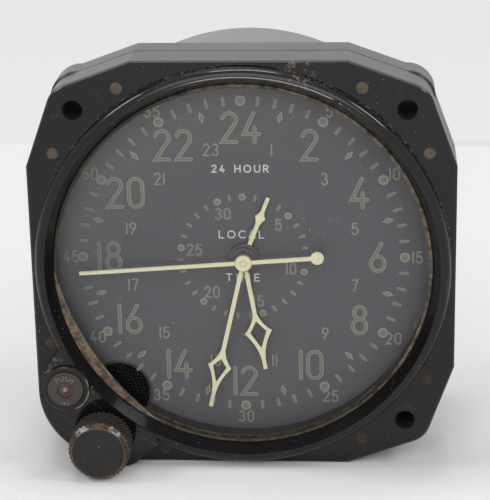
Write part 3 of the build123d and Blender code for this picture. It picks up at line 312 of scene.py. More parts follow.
def knob_paint():
    """Black knob: brown knurl with painted shade in its grooves, a rusty shoulder with two pale patches at
    its top (painted highlights with wear), a flat dark face.
    """
    face_y = node_box("knob")[0].y
    cx, cz = node_centre("knob")
    t = Tree("knob_black")
    _, y, _ = t.axes()
    r = t.radius(cx, cz)
    tips = t.step(r, 5.86 * MM, 6.12 * MM)
    side = t.step(y, face_y + 1.25 * MM, face_y + 1.5 * MM)
    cone = t.times(t.step(y, face_y + 1.5 * MM, face_y + 1.25 * MM), t.step(r, 5.26 * MM, 5.34 * MM))

    # Face, knurl and shoulder; the knurl's grooves get painted shade, far darker than its brown tips
    face = t.mix(t.noise(160.0, 5.0, 0.65), (0.0135, 0.0123, 0.0120), (0.026, 0.0235, 0.022))
    grooves = t.mix(t.noise(700.0, 4.0, 0.7), (0.0030, 0.0025, 0.0022), (0.009, 0.0065, 0.005))
    ridges = t.mix(t.noise(420.0, 4.0, 0.7), (0.016, 0.012, 0.009), (0.10, 0.074, 0.056))
    colour = t.mix(side, face, t.mix(tips, grooves, ridges))
    blotches = t.step(t.noise(480.0, 5.0, 0.7, distortion=0.8), 0.42, 0.6)
    rusty = t.mix(blotches, (0.035, 0.023, 0.017), (0.12, 0.072, 0.045))
    colour = t.mix(t.times(cone, 0.9), colour, rusty)

    # Pale patches on the shoulder, painted highlights with wear; wear on the rim of the face; and dust
    patches = t.most(t.step(t.radius(cx - 3.2 * MM, cz + 4.7 * MM), 1.8 * MM, 0.8 * MM),
                     t.step(t.radius(cx + 3.4 * MM, cz + 4.5 * MM), 1.7 * MM, 0.8 * MM))
    wear_and_highlight = t.times(cone, patches, t.step(t.noise(900.0, 4.0, 0.75), 0.42, 0.56))
    colour = t.mix(wear_and_highlight, colour, (0.36, 0.355, 0.345))
    rim = t.times(t.circle(5.24 * MM, 0.16 * MM, cx, cz),
                  t.step(y, face_y + 0.3 * MM, face_y + 0.05 * MM), t.step(t.noise(240.0, 3.0), 0.36, 0.55))
    colour = t.mix(t.times(rim, 0.7), colour, (0.14, 0.105, 0.08))
    specks = t.times(t.spots(700.0, 0.12), t.step(t.noise(130.0, 2.0), 0.5, 0.62), 0.5)
    colour = t.mix(specks, colour, (0.36, 0.34, 0.31))
    normal = t.bump(t.noise(1100.0, 4.0, 0.7), 0.03 * MM, 0.6)
    return t.surface(colour, 0.62, t.times(wear_and_highlight, 0.3), normal, specular=0.2)


def button_paint():
    """The date button: brown, rubbed and dirty, redder on its small dome, with a painted highlight at the
    dome's top.
    """
    cx, cz = node_centre("date_button")
    t = Tree("button_brown")
    r = t.radius(cx, cz)
    tone = t.noise(420.0, 5.0, 0.7)
    colour = t.mix(tone, (0.013, 0.009, 0.0075), (0.055, 0.040, 0.032))
    dome = t.step(r, 1.15 * MM, 0.8 * MM)
    colour = t.mix(dome, colour, t.mix(tone, (0.060, 0.024, 0.020), (0.17, 0.085, 0.070)))
    # Painted highlight: a pale spot near the top of the dome.
    dome_highlight = t.step(t.radius(cx, cz + 0.15 * MM), 0.5 * MM, 0.15 * MM)
    colour = t.mix(t.times(dome_highlight, 0.6), colour, (0.34, 0.25, 0.225))
    edge = t.step(r, 3.2 * MM, 3.55 * MM)
    colour = t.mix(t.times(edge, 0.7), colour, (0.022, 0.019, 0.018))
    groove = t.circle(1.45 * MM, 0.3 * MM, cx, cz)
    colour = t.mix(t.times(groove, 0.75), colour, (0.014, 0.010, 0.009))
    return t.surface(colour, 0.5, 0.1, t.bump(tone, 0.05 * MM, 0.6))


def collar_paint():
    """Black collar round the button; on the side by the ring its rim is brightened by wear and a painted
    highlight.
    """
    low, high = node_box("button_collar")
    cx, cz = node_centre("button_collar")
    t = Tree("collar_black")
    x, y, _ = t.axes()
    tone = t.noise(500.0, 4.0, 0.7)
    rim = t.circle((high.x - low.x) / 2, 0.3 * MM, cx, cz)
    front = t.step(y, low.y + 0.25 * MM, low.y)
    # Painted highlight with wear: the rim is made bright mostly on its right side.
    side = t.math("ADD", t.step(x, cx - 2.0 * MM, cx + 3.5 * MM), 0.12, clamp=True)
    wear_and_highlight = t.times(rim, front, side, t.step(t.noise(420.0, 3.0), 0.4, 0.56))
    colour = t.mix(tone, (0.0035, 0.0034, 0.0036), (0.017, 0.015, 0.0135))
    colour = t.mix(wear_and_highlight, colour, (0.33, 0.30, 0.26))
    return t.surface(colour, 0.45, t.times(wear_and_highlight, 0.5), t.bump(tone, 0.03 * MM, 0.5), specular=0.25)


def glass():
    """Thin clear glass: a weak sheen, dust, brown grime round its edge and a faint pale film at the upper
    left.
    """
    t = Tree("clear_glass")
    x, y, z = t.axes()
    r = t.radius()
    crystal_front = node_box("crystal")[0].y
    front = t.step(y, crystal_front + 0.3 * MM, crystal_front + 0.1 * MM)
    dust = t.times(t.spots(520.0, 0.085), t.step(t.noise(70.0, 3.0), 0.5, 0.64), 0.45, front)

    # Grime at the edge: wide at the top, a thin line lower down
    wide = t.step(z, -12.0 * MM, 10.0 * MM)
    grime = t.times(t.step(r, 35.85 * MM, 36.15 * MM), wide, t.step(t.noise(900.0, 4.0, 0.7), 0.38, 0.55),
                    0.9)
    line = t.times(t.circle(35.75 * MM, 0.16 * MM), t.math("SUBTRACT", 1.0, wide),
                   t.step(t.noise(700.0, 4.0, 0.7), 0.44, 0.58), 0.8)
    edge = t.times(t.most(grime, line), front)
    above = t.step(t.math("SUBTRACT", t.times(z, 1.3), t.times(x, 0.7)), 8.0 * MM, 52.0 * MM)
    upper_left_film = t.times(above, t.step(r, 15.0 * MM, 36.0 * MM), front, 0.05)
    film = t.most(t.plus(dust, upper_left_film), edge)
    brown = t.mix(t.noise(1300.0, 3.0, 0.7), (0.05, 0.038, 0.028), (0.26, 0.215, 0.155))

    clear = t.node("ShaderNodeBsdfTransparent", Color=(0.985, 0.988, 0.985))
    gloss = t.node("ShaderNodeBsdfGlossy", Color=(1.0, 1.0, 1.0), Roughness=0.02)
    haze = t.node("ShaderNodeBsdfDiffuse", Color=t.mix(t.step(edge, 0.0, 0.1), (0.62, 0.60, 0.56), brown))
    fresnel = t.node("ShaderNodeFresnel", IOR=1.12)
    return t.finished(t.blend(film, t.blend(fresnel.outputs[0], clear, gloss), haze))


SWELL_R = 56.7 * MM
SWELL_SHIFT = 21.9 * MM
SWELL_DEG = 32.0
SWELL_AT = (SWELL_SHIFT * cos(radians(SWELL_DEG)), SWELL_SHIFT * sin(radians(SWELL_DEG)))


def seal_compound():
    """Aged brown compound, mottled and streaked across: tan in the crescent, darker elsewhere."""
    t = Tree("brown_seal")
    x, _, z = t.axes()
    streak = t.step(t.ray_noise(36.0 * MM, 900.0, 500.0), 0.4, 0.62)
    mottle = t.step(t.noise(520.0, 5.0, 0.75), 0.4, 0.62)
    grain = t.step(t.noise(2200.0, 3.0, 0.7), 0.4, 0.66)
    from_swell = t.radius(*SWELL_AT)
    crescent = t.step(from_swell, SWELL_R - 0.1 * MM, SWELL_R + 0.3 * MM)
    low = t.step(z, -17.0 * MM, -25.0 * MM)

    tan = t.mix(mottle, (0.050, 0.036, 0.024), (0.215, 0.165, 0.105))
    tan = t.mix(t.times(streak, 0.35), tan, (0.25, 0.20, 0.135))
    brown = t.mix(t.most(streak, mottle), (0.020, 0.016, 0.012), (0.185, 0.150, 0.110))
    dark_side = t.step(t.plus(x, t.times(z, -0.35)), -14.0 * MM, -30.0 * MM)
    brown = t.mix(t.times(dark_side, 0.85), brown, (0.020, 0.015, 0.012))
    brown = t.mix(t.times(low, 0.85), brown, (0.017, 0.014, 0.011))
    thread = t.times(t.circle(36.5 * MM, 0.17 * MM), low, t.step(t.noise(1100.0, 3.0, 0.7), 0.42, 0.56))
    brown = t.mix(t.times(thread, 0.8), brown, (0.24, 0.195, 0.135))

    colour = t.mix(crescent, brown, tan)
    colour = t.mix(t.times(grain, 0.5), colour, (0.045, 0.033, 0.024))
    edge = t.times(t.step(t.off(from_swell, SWELL_R + 0.08 * MM), 0.12 * MM, 0.02 * MM),
                   t.step(t.noise(500.0, 3.0, 0.7), 0.4, 0.56))
    colour = t.mix(t.times(edge, 0.6), colour, (0.36, 0.31, 0.22))
    return t.surface(colour, 0.75, normal=t.bump(grain, 0.08 * MM, 0.7), specular=0.25)


def spacer_paint():
    """Grey-black ring with brown dirt along its edge by the glass."""
    front_y = node_box("dial_spacer")[0].y
    t = Tree("aged_brass_ring")
    near_glass = t.step(t.axes()[1], front_y + 2.4 * MM, front_y + 0.1 * MM)
    mottled = t.step(t.noise(700.0, 4.0, 0.7), 0.38, 0.66)
    grey = t.mix(t.noise(60.0, 3.0), (0.050, 0.048, 0.048), (0.075, 0.072, 0.070))
    brown = t.mix(mottled, (0.035, 0.028, 0.021), (0.15, 0.12, 0.085))
    colour = t.mix(near_glass, grey, brown)
    return t.surface(colour, 0.8, normal=t.bump(mottled, 0.05 * MM, 0.5), specular=0.15)


NOTCH_AT = (-26.0 * MM, -29.25 * MM)
NOTCH_R = 6.2 * MM
COVER_SPECKS_AT = (-26.5 * MM, -25.2 * MM)


def dial_paint():
    """Satin black dial paint greyed with age, with painted shade on the bevel of the notch."""
    t = Tree("dial_black")
    colour = t.mix(t.noise(30.0, 4.0, 0.6), (0.100, 0.0965, 0.107), (0.116, 0.112, 0.123))
    specks = t.times(t.spots(520.0, 0.085), t.step(t.noise(80.0, 3.0), 0.52, 0.62))
    colour = t.mix(t.times(specks, 0.45), colour, (0.5, 0.48, 0.42))
    # Painted shade: a darker ring on the sloped bevel round the notch.
    bevel = t.times(t.step(t.radius(*NOTCH_AT), NOTCH_R + 0.85 * MM, NOTCH_R + 0.7 * MM), 0.6)
    colour = t.mix(bevel, colour, (0.066, 0.065, 0.069))
    return t.surface(colour, 0.7, specular=0.2)


def velvet_black():
    """Dull black cap in the notch, with pale specks near its upper edge."""
    t = Tree("cover_black")
    corner = t.step(t.radius(*COVER_SPECKS_AT), 3.2 * MM, 0.6 * MM)
    specks = t.times(t.spots(1900.0, 0.14), corner, t.step(t.noise(700.0, 2.0), 0.45, 0.6), 0.3)
    colour = t.mix(specks, (0.0024, 0.0023, 0.0024), (0.10, 0.095, 0.09))
    return t.surface(colour, 0.95, normal=t.bump(t.noise(2200.0, 3.0), 0.05 * MM, 0.4), specular=0.05)


def rubber():
    t = Tree("black_rubber")
    tone = t.noise(300.0, 3.0)
    colour = t.mix(tone, (0.012, 0.012, 0.012), (0.03, 0.029, 0.028))
    return t.surface(colour, 0.8, normal=t.bump(tone, 0.03 * MM, 0.5))


def lume(name, fill, outline, wear):
    """Aged paint of the marks, drawn toward the dial's grey at the left. A mark's rim value is 0 inside it
    and 1 on its outline.
    """
    t = Tree(name)
    x, _, z = t.axes()
    rim = t.nodes.new("ShaderNodeAttribute")
    rim.attribute_name = "rim"
    tone = t.noise(520.0, 4.0, 0.65)
    colour = t.mix(t.step(rim.outputs["Fac"], 0.0, 0.35), fill, outline)
    colour = t.mix(t.times(t.step(tone, 0.5, 0.75), wear), colour, (0.106, 0.105, 0.100))
    left_blend = t.times(t.step(x, -20.0 * MM, -31.0 * MM), t.step(z, -13.0 * MM, 2.0 * MM), 0.5)
    colour = t.mix(left_blend, colour, (0.106, 0.103, 0.110))
    return t.surface(colour, 0.75, normal=t.bump(tone, 0.02 * MM, 0.5))


def hand_paint(name, hub_radius):
    """Ivory hand with fine grain and dirt. Its boss, inside hub_radius, is dark purple-brown metal."""
    t = Tree(name)
    tone = t.noise(620.0, 4.0, 0.7)
    colour = t.mix(tone, (0.66, 0.615, 0.41), (0.77, 0.725, 0.525))
    dirt = t.times(t.step(t.noise(240.0, 4.0, 0.7), 0.58, 0.74), 0.35)
    colour = t.mix(dirt, colour, (0.33, 0.30, 0.22))
    if hub_radius:
        boss = t.step(t.radius(), hub_radius + 0.06 * MM, hub_radius - 0.06 * MM)
        shade = t.mix(t.noise(260.0, 3.0), (0.105, 0.088, 0.098), (0.16, 0.138, 0.150))
        colour = t.mix(boss, colour, shade)
    else:
        pivot = t.times(t.circle(0.6 * MM, 0.16 * MM), 0.6)
        colour = t.mix(pivot, colour, (0.24, 0.21, 0.15))
    return t.surface(colour, 0.55, normal=t.bump(tone, 0.02 * MM, 0.5), specular=0.35)


def metal(name, dark, light, roughness, grain=(1.0, 1.0, 1.0)):
    """Bare metal of the movement, its grain stretched along an axis where grain is small, with stains."""
    t = Tree(name)
    tone = t.noise(500.0, 4.0, 0.6, stretch=grain)
    stain = t.step(t.noise(90.0, 4.0, 0.6), 0.5, 0.75)
    colour = t.mix(tone, dark, light)
    colour = t.mix(t.times(stain, 0.3), colour, tuple(c * 0.55 for c in dark))
    rough = t.plus(roughness, t.times(tone, 0.15))
    return t.surface(colour, rough, 1.0, t.bump(tone, 0.01 * MM, 0.4))


SLOT_MAKERS = {
    "black_enamel": enamel,
    "clear_glass": glass,
    "brown_seal": seal_compound,
    "black_rubber": rubber,
    "aged_brass_ring": spacer_paint,
    "dial_black": dial_paint,
    "cover_black": velvet_black,
    "dark_screw_steel": screw_steel,
    "knob_black": knob_paint,
    "collar_black": collar_paint,
    "button_brown": button_paint,
    "wheel_brass": lambda: metal("wheel_brass", (0.50, 0.36, 0.14), (0.72, 0.55, 0.25), 0.28),
    "plate_brass": lambda: metal("plate_brass", (0.46, 0.36, 0.18), (0.66, 0.54, 0.30), 0.34,
                                 (0.1, 1.0, 1.0)),
    "polished_steel": lambda: metal("polished_steel", (0.42, 0.42, 0.43), (0.62, 0.62, 0.63), 0.2),
    "spring_steel": lambda: metal("spring_steel", (0.10, 0.13, 0.22), (0.20, 0.24, 0.34), 0.25),
}
HAND_HUBS = {"second_hand": 0.0, "minute_hand": 1.95 * MM, "hour_hand": 2.5 * MM, "date_hand": 3.0 * MM}


def dress_nodes():
    """Gives each node of the part its material, and hands back the materials by slot."""
    made = {slot: maker() for slot, maker in SLOT_MAKERS.items()}
    for entry in frame["record"]["subparts"]:
        name = entry["node"]
        materials = NODES[name].data.materials
        materials.clear()
        if name in HAND_HUBS:
            materials.append(hand_paint(name + "_ivory", HAND_HUBS[name]))
        else:
            materials.append(made[entry["material_slot"]])
    return made


# Dial marks: figures and letters are strokes with round ends, in a box one unit high
def curve_points(cx, cz, rx, rz, start, end, count=14):
    """Points on an ellipse arc, angles in degrees counterclockwise from the right."""
    angles = [radians(start + (end - start) * i / count) for i in range(count + 1)]
    return [(cx + rx * cos(a), cz + rz * sin(a)) for a in angles]


WIDE = 0.47
HALF = WIDE / 2
LETTER_P = [(0, 0), (0, 1), (0.27, 1)] + curve_points(0.27, 0.74, 0.24, 0.26, 80, -90) + [(0, 0.48)]
GLYPHS = {
    "0": (WIDE, [curve_points(HALF, 1 - HALF, HALF, HALF, 0, 180)
                 + curve_points(HALF, HALF, HALF, HALF, 180, 360) + [(WIDE, 1 - HALF)]]),
    "1": (0.0, [[(0, 1), (0, 0)]]),
    "2": (WIDE, [curve_points(HALF, 0.76, HALF, 0.24, 165, -28) + [(0, 0), (WIDE, 0)]]),
    "3": (WIDE, [curve_points(0.22, 0.765, 0.2, 0.235, 150, -75)
                 + curve_points(0.22, 0.265, 0.245, 0.265, 80, -155)]),
    "4": (0.52, [[(0.33, 1), (0, 0.27), (0.52, 0.27)], [(0.36, 0.5), (0.36, 0)]]),
    "5": (WIDE, [[(0.42, 1), (0.06, 1), (0.02, 0.55)] + curve_points(0.22, 0.32, 0.25, 0.32, 118, -150)]),
    "6": (WIDE, [[(0.36, 1), (0.06, 0.44)], curve_points(HALF, 0.27, HALF, 0.27, 140, 500)]),
    "7": (WIDE, [[(0, 1), (WIDE, 1), (0.16, 0)]]),
    "8": (WIDE, [curve_points(HALF, 0.775, 0.19, 0.225, -90, 270),
                 curve_points(HALF, 0.275, HALF, 0.275, 90, 450)]),
    "9": (WIDE, [curve_points(HALF, 0.73, HALF, 0.27, -40, 320), [(0.41, 0.56), (0.11, 0)]]),
    "A": (0.72, [[(0, 0), (0.36, 1), (0.72, 0)], [(0.13, 0.32), (0.59, 0.32)]]),
    "C": (0.66, [curve_points(0.42, 0.5, 0.42, 0.5, 50, 310)]),
    "E": (0.5, [[(0.5, 1), (0, 1), (0, 0), (0.5, 0)], [(0, 0.52), (0.42, 0.52)]]),
    "H": (0.62, [[(0, 1), (0, 0)], [(0.62, 1), (0.62, 0)], [(0, 0.52), (0.62, 0.52)]]),
    "I": (0.0, [[(0, 1), (0, 0)]]),
    "L": (0.5, [[(0, 1), (0, 0), (0.5, 0)]]),
    "M": (0.8, [[(0, 0), (0, 1), (0.4, 0.3), (0.8, 1), (0.8, 0)]]),
    "O": (0.82, [curve_points(0.41, 0.5, 0.41, 0.5, 0, 360, 24)]),
    "P": (0.5, [LETTER_P]),
    "R": (0.56, [LETTER_P, [(0.25, 0.48), (0.56, 0)]]),
    "S": (0.52, [curve_points(0.26, 0.75, 0.25, 0.25, 40, 270)
                 + curve_points(0.26, 0.25, 0.26, 0.25, 90, -140)]),
    "T": (0.62, [[(0, 1), (0.62, 1)], [(0.31, 1), (0.31, 0)]]),
    "U": (0.62, [[(0, 1)] + curve_points(0.31, 0.31, 0.31, 0.31, 180, 360) + [(0.62, 1)]]),
    "+": (0.6, [[(0, 0.5), (0.6, 0.5)], [(0.3, 0.2), (0.3, 0.8)]]),
    " ": (0.35, []),
}

# Across a stroke, in half widths: the middle stands up and the outline lies lower, with its rim value
CORE = 0.55
SECTION = ((-1.0, 1.0), (-CORE, 0.0), (0.0, 0.0), (CORE, 0.0), (1.0, 1.0))
RIM_SHARE = 0.35
LAYERS = 5
LAYER_LIFT = 0.002
CAP_STEPS = 8
DOT_SIDES = 24
SAME = 1e-4


def gap(a, b):
    return hypot(b[0] - a[0], b[1] - a[1])


class Marks:
    """One mesh of flat raised marks on a plane facing -Y, with a rim value at each point."""

    def __init__(self, plane_y, rise):
        self.y = plane_y
        self.rise = rise
        self.points = []
        self.rims = []
        self.faces = []
        self.layer = 0

    def next_layer(self):
        """Lifts what comes next by a hair, so that marks which cross don't lie in one plane."""
        self.layer = (self.layer + 1) % LAYERS

    def add(self, x, z, rim):
        """Puts down one point, in millimetres across the plane."""
        lift = self.rise * (RIM_SHARE if rim > 0.5 else 1.0) + self.layer * LAYER_LIFT
        self.points.append((x * MM, self.y - lift * MM, z * MM))
        self.rims.append(rim)
        return len(self.points) - 1

    def stroke(self, line, half):
        """A stroke along line, half wide to each side, with round ends or closed on itself."""
        self.next_layer()
        line = [line[0]] + [b for a, b in zip(line, line[1:]) if gap(a, b) > SAME]
        closed = gap(line[0], line[-1]) < SAME
        path = line[:-1] if closed else line
        count = len(path)
        rows = []
        for i, (x, z) in enumerate(path):
            before = path[i - 1] if i > 0 or closed else None
            after = path[(i + 1) % count] if i < count - 1 or closed else None
            nx, nz = mitre(before, (x, z), after)
            rows.append([self.add(x + nx * half * s, z + nz * half * s, rim) for s, rim in SECTION])
        pairs = list(zip(rows, rows[1:])) + ([(rows[-1], rows[0])] if closed else [])
        for one, two in pairs:
            for k in range(len(SECTION) - 1):
                self.faces.append((one[k], one[k + 1], two[k + 1], two[k]))
        if not closed:
            self.cap(path[0], path[1], half)
            self.cap(path[-1], path[-2], half)

    def cap(self, end, inner, half):
        """The round end of a stroke at end, facing away from inner."""
        heading = atan2(end[1] - inner[1], end[0] - inner[0])
        self.fan(end, half, [heading - pi / 2 + pi * i / CAP_STEPS for i in range(CAP_STEPS + 1)])

    def fan(self, centre, half, angles):
        """Part of a disc of radius half, between the first angle and the last."""
        x, z = centre
        middle = self.add(x, z, 0.0)
        inside = [self.add(x + CORE * half * cos(a), z + CORE * half * sin(a), 0.0) for a in angles]
        outside = [self.add(x + half * cos(a), z + half * sin(a), 1.0) for a in angles]
        self.fill(middle, inside, outside)

    def fill(self, middle, inside, outside):
        """Faces from a middle point out to a row of points inside and a row on the outline."""
        for i in range(len(inside) - 1):
            self.faces.append((middle, inside[i], inside[i + 1]))
            self.faces.append((inside[i], outside[i], outside[i + 1], inside[i + 1]))

    def dot(self, centre, radius):
        self.next_layer()
        self.fan(centre, radius, [2 * pi * i / DOT_SIDES for i in range(DOT_SIDES + 1)])

    def diamond(self, centre, half_wide, half_long, turn):
        """A diamond with its long way along turn, in degrees clockwise from the top."""
        self.next_layer()
        a = radians(turn)
        cx, cz = centre
        corners = ((0, half_long), (half_wide, 0), (0, -half_long), (-half_wide, 0), (0, half_long))
        spun = [(cx + u * cos(a) + v * sin(a), cz - u * sin(a) + v * cos(a)) for u, v in corners]
        middle = self.add(cx, cz, 0.0)
        inner = [self.add(cx + (x - cx) * 0.5, cz + (z - cz) * 0.5, 0.0) for x, z in spun]
        outer = [self.add(x, z, 1.0) for x, z in spun]
        self.fill(middle, inner, outer)

    def figure(self, text, centre, tall, half, spacing, wide_by=1.0):
        """Upright text centred on a point. tall is its full height and half its stroke's half width."""
        size = tall - 2 * half
        step = spacing + 2 * half
        widths = [GLYPHS[c][0] * size * wide_by for c in text]
        left = centre[0] - (sum(widths) + step * (len(text) - 1)) / 2
        for c, wide in zip(text, widths):
            for line in GLYPHS[c][1]:
                placed = [(left + u * size * wide_by, centre[1] + (v - 0.5) * size) for u, v in line]
                self.stroke(placed, half)
            left += wide + step

    def arc_text(self, text, centre, radius, middle_deg, tall, half, spacing, inward):
        """Text along a circle, its feet towards the centre if inward and away from it if not."""
        size = tall - 2 * half
        step = spacing + 2 * half
        sign = 1 if inward else -1
        widths = [GLYPHS[c][0] * size for c in text]
        run = -(sum(widths) + step * (len(text) - 1)) / 2
        for c, wide in zip(text, widths):
            turn = radians(middle_deg) + sign * (run + wide / 2) / radius
            for line in GLYPHS[c][1]:
                placed = []
                for u, v in line:
                    across = (u * size - wide / 2) * sign
                    out = radius + (v - 0.5) * size * sign
                    placed.append((centre[0] + out * sin(turn) + across * cos(turn),
                                   centre[1] + out * cos(turn) - across * sin(turn)))
                self.stroke(placed, half)
            run += wide + step

    def build(self, name, body, material):
        """Makes the mesh, riding on one body of the part."""
        mesh = bpy.data.meshes.new(name)
        mesh.from_pydata(self.points, [], self.faces)
        rim = mesh.attributes.new("rim", "FLOAT", "POINT")
        rim.data.foreach_set("value", self.rims)
        mesh.materials.append(material)
        face_front(mesh)
        obj = add_object(name, mesh)
        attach(obj, body)


def face_front(mesh):
    """Turns every face of a flat mesh towards -Y."""
    mesh.update()
    for face in mesh.polygons:
        if face.normal.y > 0:
            face.flip()
    mesh.update()


def mitre(before, here, after):
    """The sideways direction at a corner, lengthened so that a bent stroke keeps its width."""
    def side(a, b):
        length = gap(a, b)
        return -(b[1] - a[1]) / length, (b[0] - a[0]) / length
    if before is None:
        return side(here, after)
    if after is None:
        return side(before, here)
    one, two = side(before, here), side(here, after)
    mx, mz = one[0] + two[0], one[1] + two[1]
    length = hypot(mx, mz)
    mx, mz = mx / length, mz / length
    stretch = 1.0 / max(mx * one[0] + mz * one[1], 0.4)
    return mx * stretch, mz * stretch


# The dial's print, in millimetres. Type is its height, its stroke's half width and its spacing
DIAL_SHIFT = (-0.25, -0.1)
HOUR_R = 26.5
HOUR_TYPE = (6.5, 0.38, 0.72)
ODD_HOUR_R = 22.8
ODD_HOUR_TYPE = (2.6, 0.17, 0.36)
MINUTE_R = 34.3
MINUTE_TYPE = (2.6, 0.19, 0.34)
TRACK_R = 31.85
TICK_HALF = 0.3
TICK_REACH = 0.68
NOTCH_MINUTE = 38
NOTCH_REACH = 0.2
DOT_R = 1.02
DIAMOND_R = 29.5
DIAMOND_SIZE = (0.6, 1.25)
DATE_DAYS = 31
DATE_R = 9.75
DATE_TYPE = (2.55, 0.2, 0.3)
DATE_TRACK_R = 12.4
DATE_TICK_HALF = 0.26
DATE_TICK_REACH = 0.4
DATE_DOT_R = 0.72
WORDS = (
    ("24 HOUR", (-0.5, 18.1), (1.65, 0.14, 0.5), 1.15),
    ("LOCAL", (-0.5, 4.6), (1.7, 0.13, 0.55), 1.2),
    ("TIME", (-0.4, -4.4), (1.7, 0.13, 0.8), 1.2),
)


def on_dial(radius, turn):
    """Point on the dial, millimetres, at a clockwise angle in degrees from the top."""
    return DIAL_SHIFT[0] + radius * sin(radians(turn)), DIAL_SHIFT[1] + radius * cos(radians(turn))


def dial_marks():
    """Everything printed on the dial. Each group of marks is one piece fixed to the case."""
    outline = lume("lume_outlined", (0.158, 0.160, 0.136), (0.275, 0.275, 0.225), 0.25)
    plain = lume("lume_plain", (0.235, 0.235, 0.20), (0.20, 0.20, 0.175), 0.25)
    faint = lume("lume_faint", (0.180, 0.181, 0.152), (0.265, 0.265, 0.22), 0.25)
    white = lume("word_white", (0.60, 0.59, 0.54), (0.50, 0.49, 0.45), 0.15)

    hours = Marks(DIAL_Y, 0.05)
    for hour in range(2, 26, 2):
        hours.figure(str(hour), on_dial(HOUR_R, hour * 15), *HOUR_TYPE)
    hours.build("hour_figures", CASE, outline)

    odd = Marks(DIAL_Y, 0.04)
    for hour in range(1, 25, 2):
        odd.figure(str(hour), on_dial(ODD_HOUR_R, hour * 15), *ODD_HOUR_TYPE)
    odd.build("odd_hour_figures", CASE, plain)

    minutes = Marks(DIAL_Y, 0.04)
    for minute in range(5, 60, 5):
        minutes.figure(str(minute), on_dial(MINUTE_R, minute * 6), *MINUTE_TYPE)
    minutes.build("minute_figures", CASE, plain)

    track = Marks(DIAL_Y, 0.05)
    for minute in range(60):
        turn = minute * 6
        if minute % 5:
            reach = NOTCH_REACH if minute == NOTCH_MINUTE else TICK_REACH
            track.stroke([on_dial(TRACK_R - TICK_REACH, turn), on_dial(TRACK_R + reach, turn)], TICK_HALF)
        else:
            track.dot(on_dial(TRACK_R, turn), DOT_R)
    for hour in range(1, 25, 2):
        track.diamond(on_dial(DIAMOND_R, hour * 15), *DIAMOND_SIZE, hour * 15)
    track.build("minute_track", CASE, faint)

    date = Marks(DIAL_Y, 0.05)
    for day in range(1, DATE_DAYS + 1):
        turn = (day - 1) * 360 / DATE_DAYS
        if day == 1 or day % 5 == 0:
            date.dot(on_dial(DATE_TRACK_R, turn), DATE_DOT_R)
        else:
            ends = [on_dial(DATE_TRACK_R + reach, turn) for reach in (-DATE_TICK_REACH, DATE_TICK_REACH)]
            date.stroke(ends, DATE_TICK_HALF)
        if day % 5 == 0:
            date.figure(str(day), on_dial(DATE_R, turn), *DATE_TYPE)
    date.build("date_track", CASE, faint)

    words = Marks(DIAL_Y, 0.03)
    for text, place, letters, wide_by in WORDS:
        words.figure(text, place, *letters, wide_by)
    words.build("dial_words", CASE, white)


BUTTON_WORDS_R = 2.62
BUTTON_TALL = 1.15
BUTTON_STROKE_HALF = 0.1


def button_words():
    """Worn lettering round the button's dome."""
    cx, cz = node_centre("date_button")
    paint = lume("button_lettering", (0.16, 0.13, 0.105), (0.13, 0.105, 0.085), 0.5)
    marks = Marks(node_box("date_button")[0].y, 0.03)
    for text, middle_deg, spacing, inward in (("PUSH", 0, 0.22, True), ("+1", 180, 0.3, False)):
        marks.arc_text(text, (cx / MM, cz / MM), BUTTON_WORDS_R, middle_deg, BUTTON_TALL,
                       BUTTON_STROKE_HALF, spacing, inward)
    marks.build("button_lettering", "date_button", paint)


# Knurled knob in place of the plain fluted one, inside the same outline, in millimetres
KNURL_AROUND = 38
KNURL_DEPTH = 0.42
KNURL_STEPS = 10
KNURL_LEVELS = 62
KNURL_SLANT = 1.15
KNURL_LAND_FROM = 0.8
KNOB_TIP_R = 6.14
KNOB_FACE_R = 5.25
KNOB_SHOULDER = 1.3
KNOB_FACE_INNER_R = 2.6
KNOB_REAR_INNER_R = 1.2


def knurl_height(turns, along):
    """0 at the bottom of the grooves and 1 on the flat tops of the diamonds, rubbed down by wear."""
    one = 1 - abs(2 * ((turns + along) % 1) - 1)
    two = 1 - abs(2 * ((turns - along) % 1) - 1)
    return min(min(one, two) / KNURL_LAND_FROM, 1.0)


def knurled_knob(material):
    """The knob as rows of points round its axis, cut by two families of grooves that cross."""
    low, high = node_box("knob")
    cx, cz = [v / MM for v in node_centre("knob")]
    face_y, rear_y = low.y / MM, high.y / MM
    pitch = KNURL_SLANT * 2 * pi * KNOB_TIP_R / KNURL_AROUND
    count = KNURL_AROUND * KNURL_STEPS
    rows = [(face_y, KNOB_FACE_INNER_R, False), (face_y, KNOB_FACE_R, False)]
    for i in range(1, KNURL_LEVELS + 1):
        y = face_y + (rear_y - face_y) * i / KNURL_LEVELS
        up_shoulder = min((y - face_y) / KNOB_SHOULDER, 1.0)
        rows.append((y, KNOB_FACE_R + (KNOB_TIP_R - KNOB_FACE_R) * up_shoulder, True))
    rows.append((rear_y, KNOB_REAR_INNER_R, False))
    points = []
    for y, outer, knurled in rows:
        for k in range(count):
            a = 2 * pi * k / count
            r = outer
            if knurled:
                height = knurl_height(k / KNURL_STEPS, (y - face_y) / pitch)
                r = min(outer, KNOB_TIP_R - KNURL_DEPTH * (1 - height))
            points.append(((cx + r * cos(a)) * MM, y * MM, (cz + r * sin(a)) * MM))
    faces = []
    for row in range(len(rows) - 1):
        for k in range(count):
            one, two = row * count + k, row * count + (k + 1) % count
            faces.append((one, two, two + count, one + count))
    for row, y in ((0, face_y), (len(rows) - 1, rear_y)):
        middle = len(points)
        points.append((cx * MM, y * MM, cz * MM))
        ends = [(row * count + k, row * count + (k + 1) % count) for k in range(count)]
        faces += [(middle, b, a) if row == 0 else (middle, a, b) for a, b in ends]
    mesh = bpy.data.meshes.new("knurled_knob")
    mesh.from_pydata(points, [], faces)
    mesh.materials.append(material)
    mesh.update()
    obj = add_object("knurled_knob", mesh)
    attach(obj, "knob")
    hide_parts("knob")


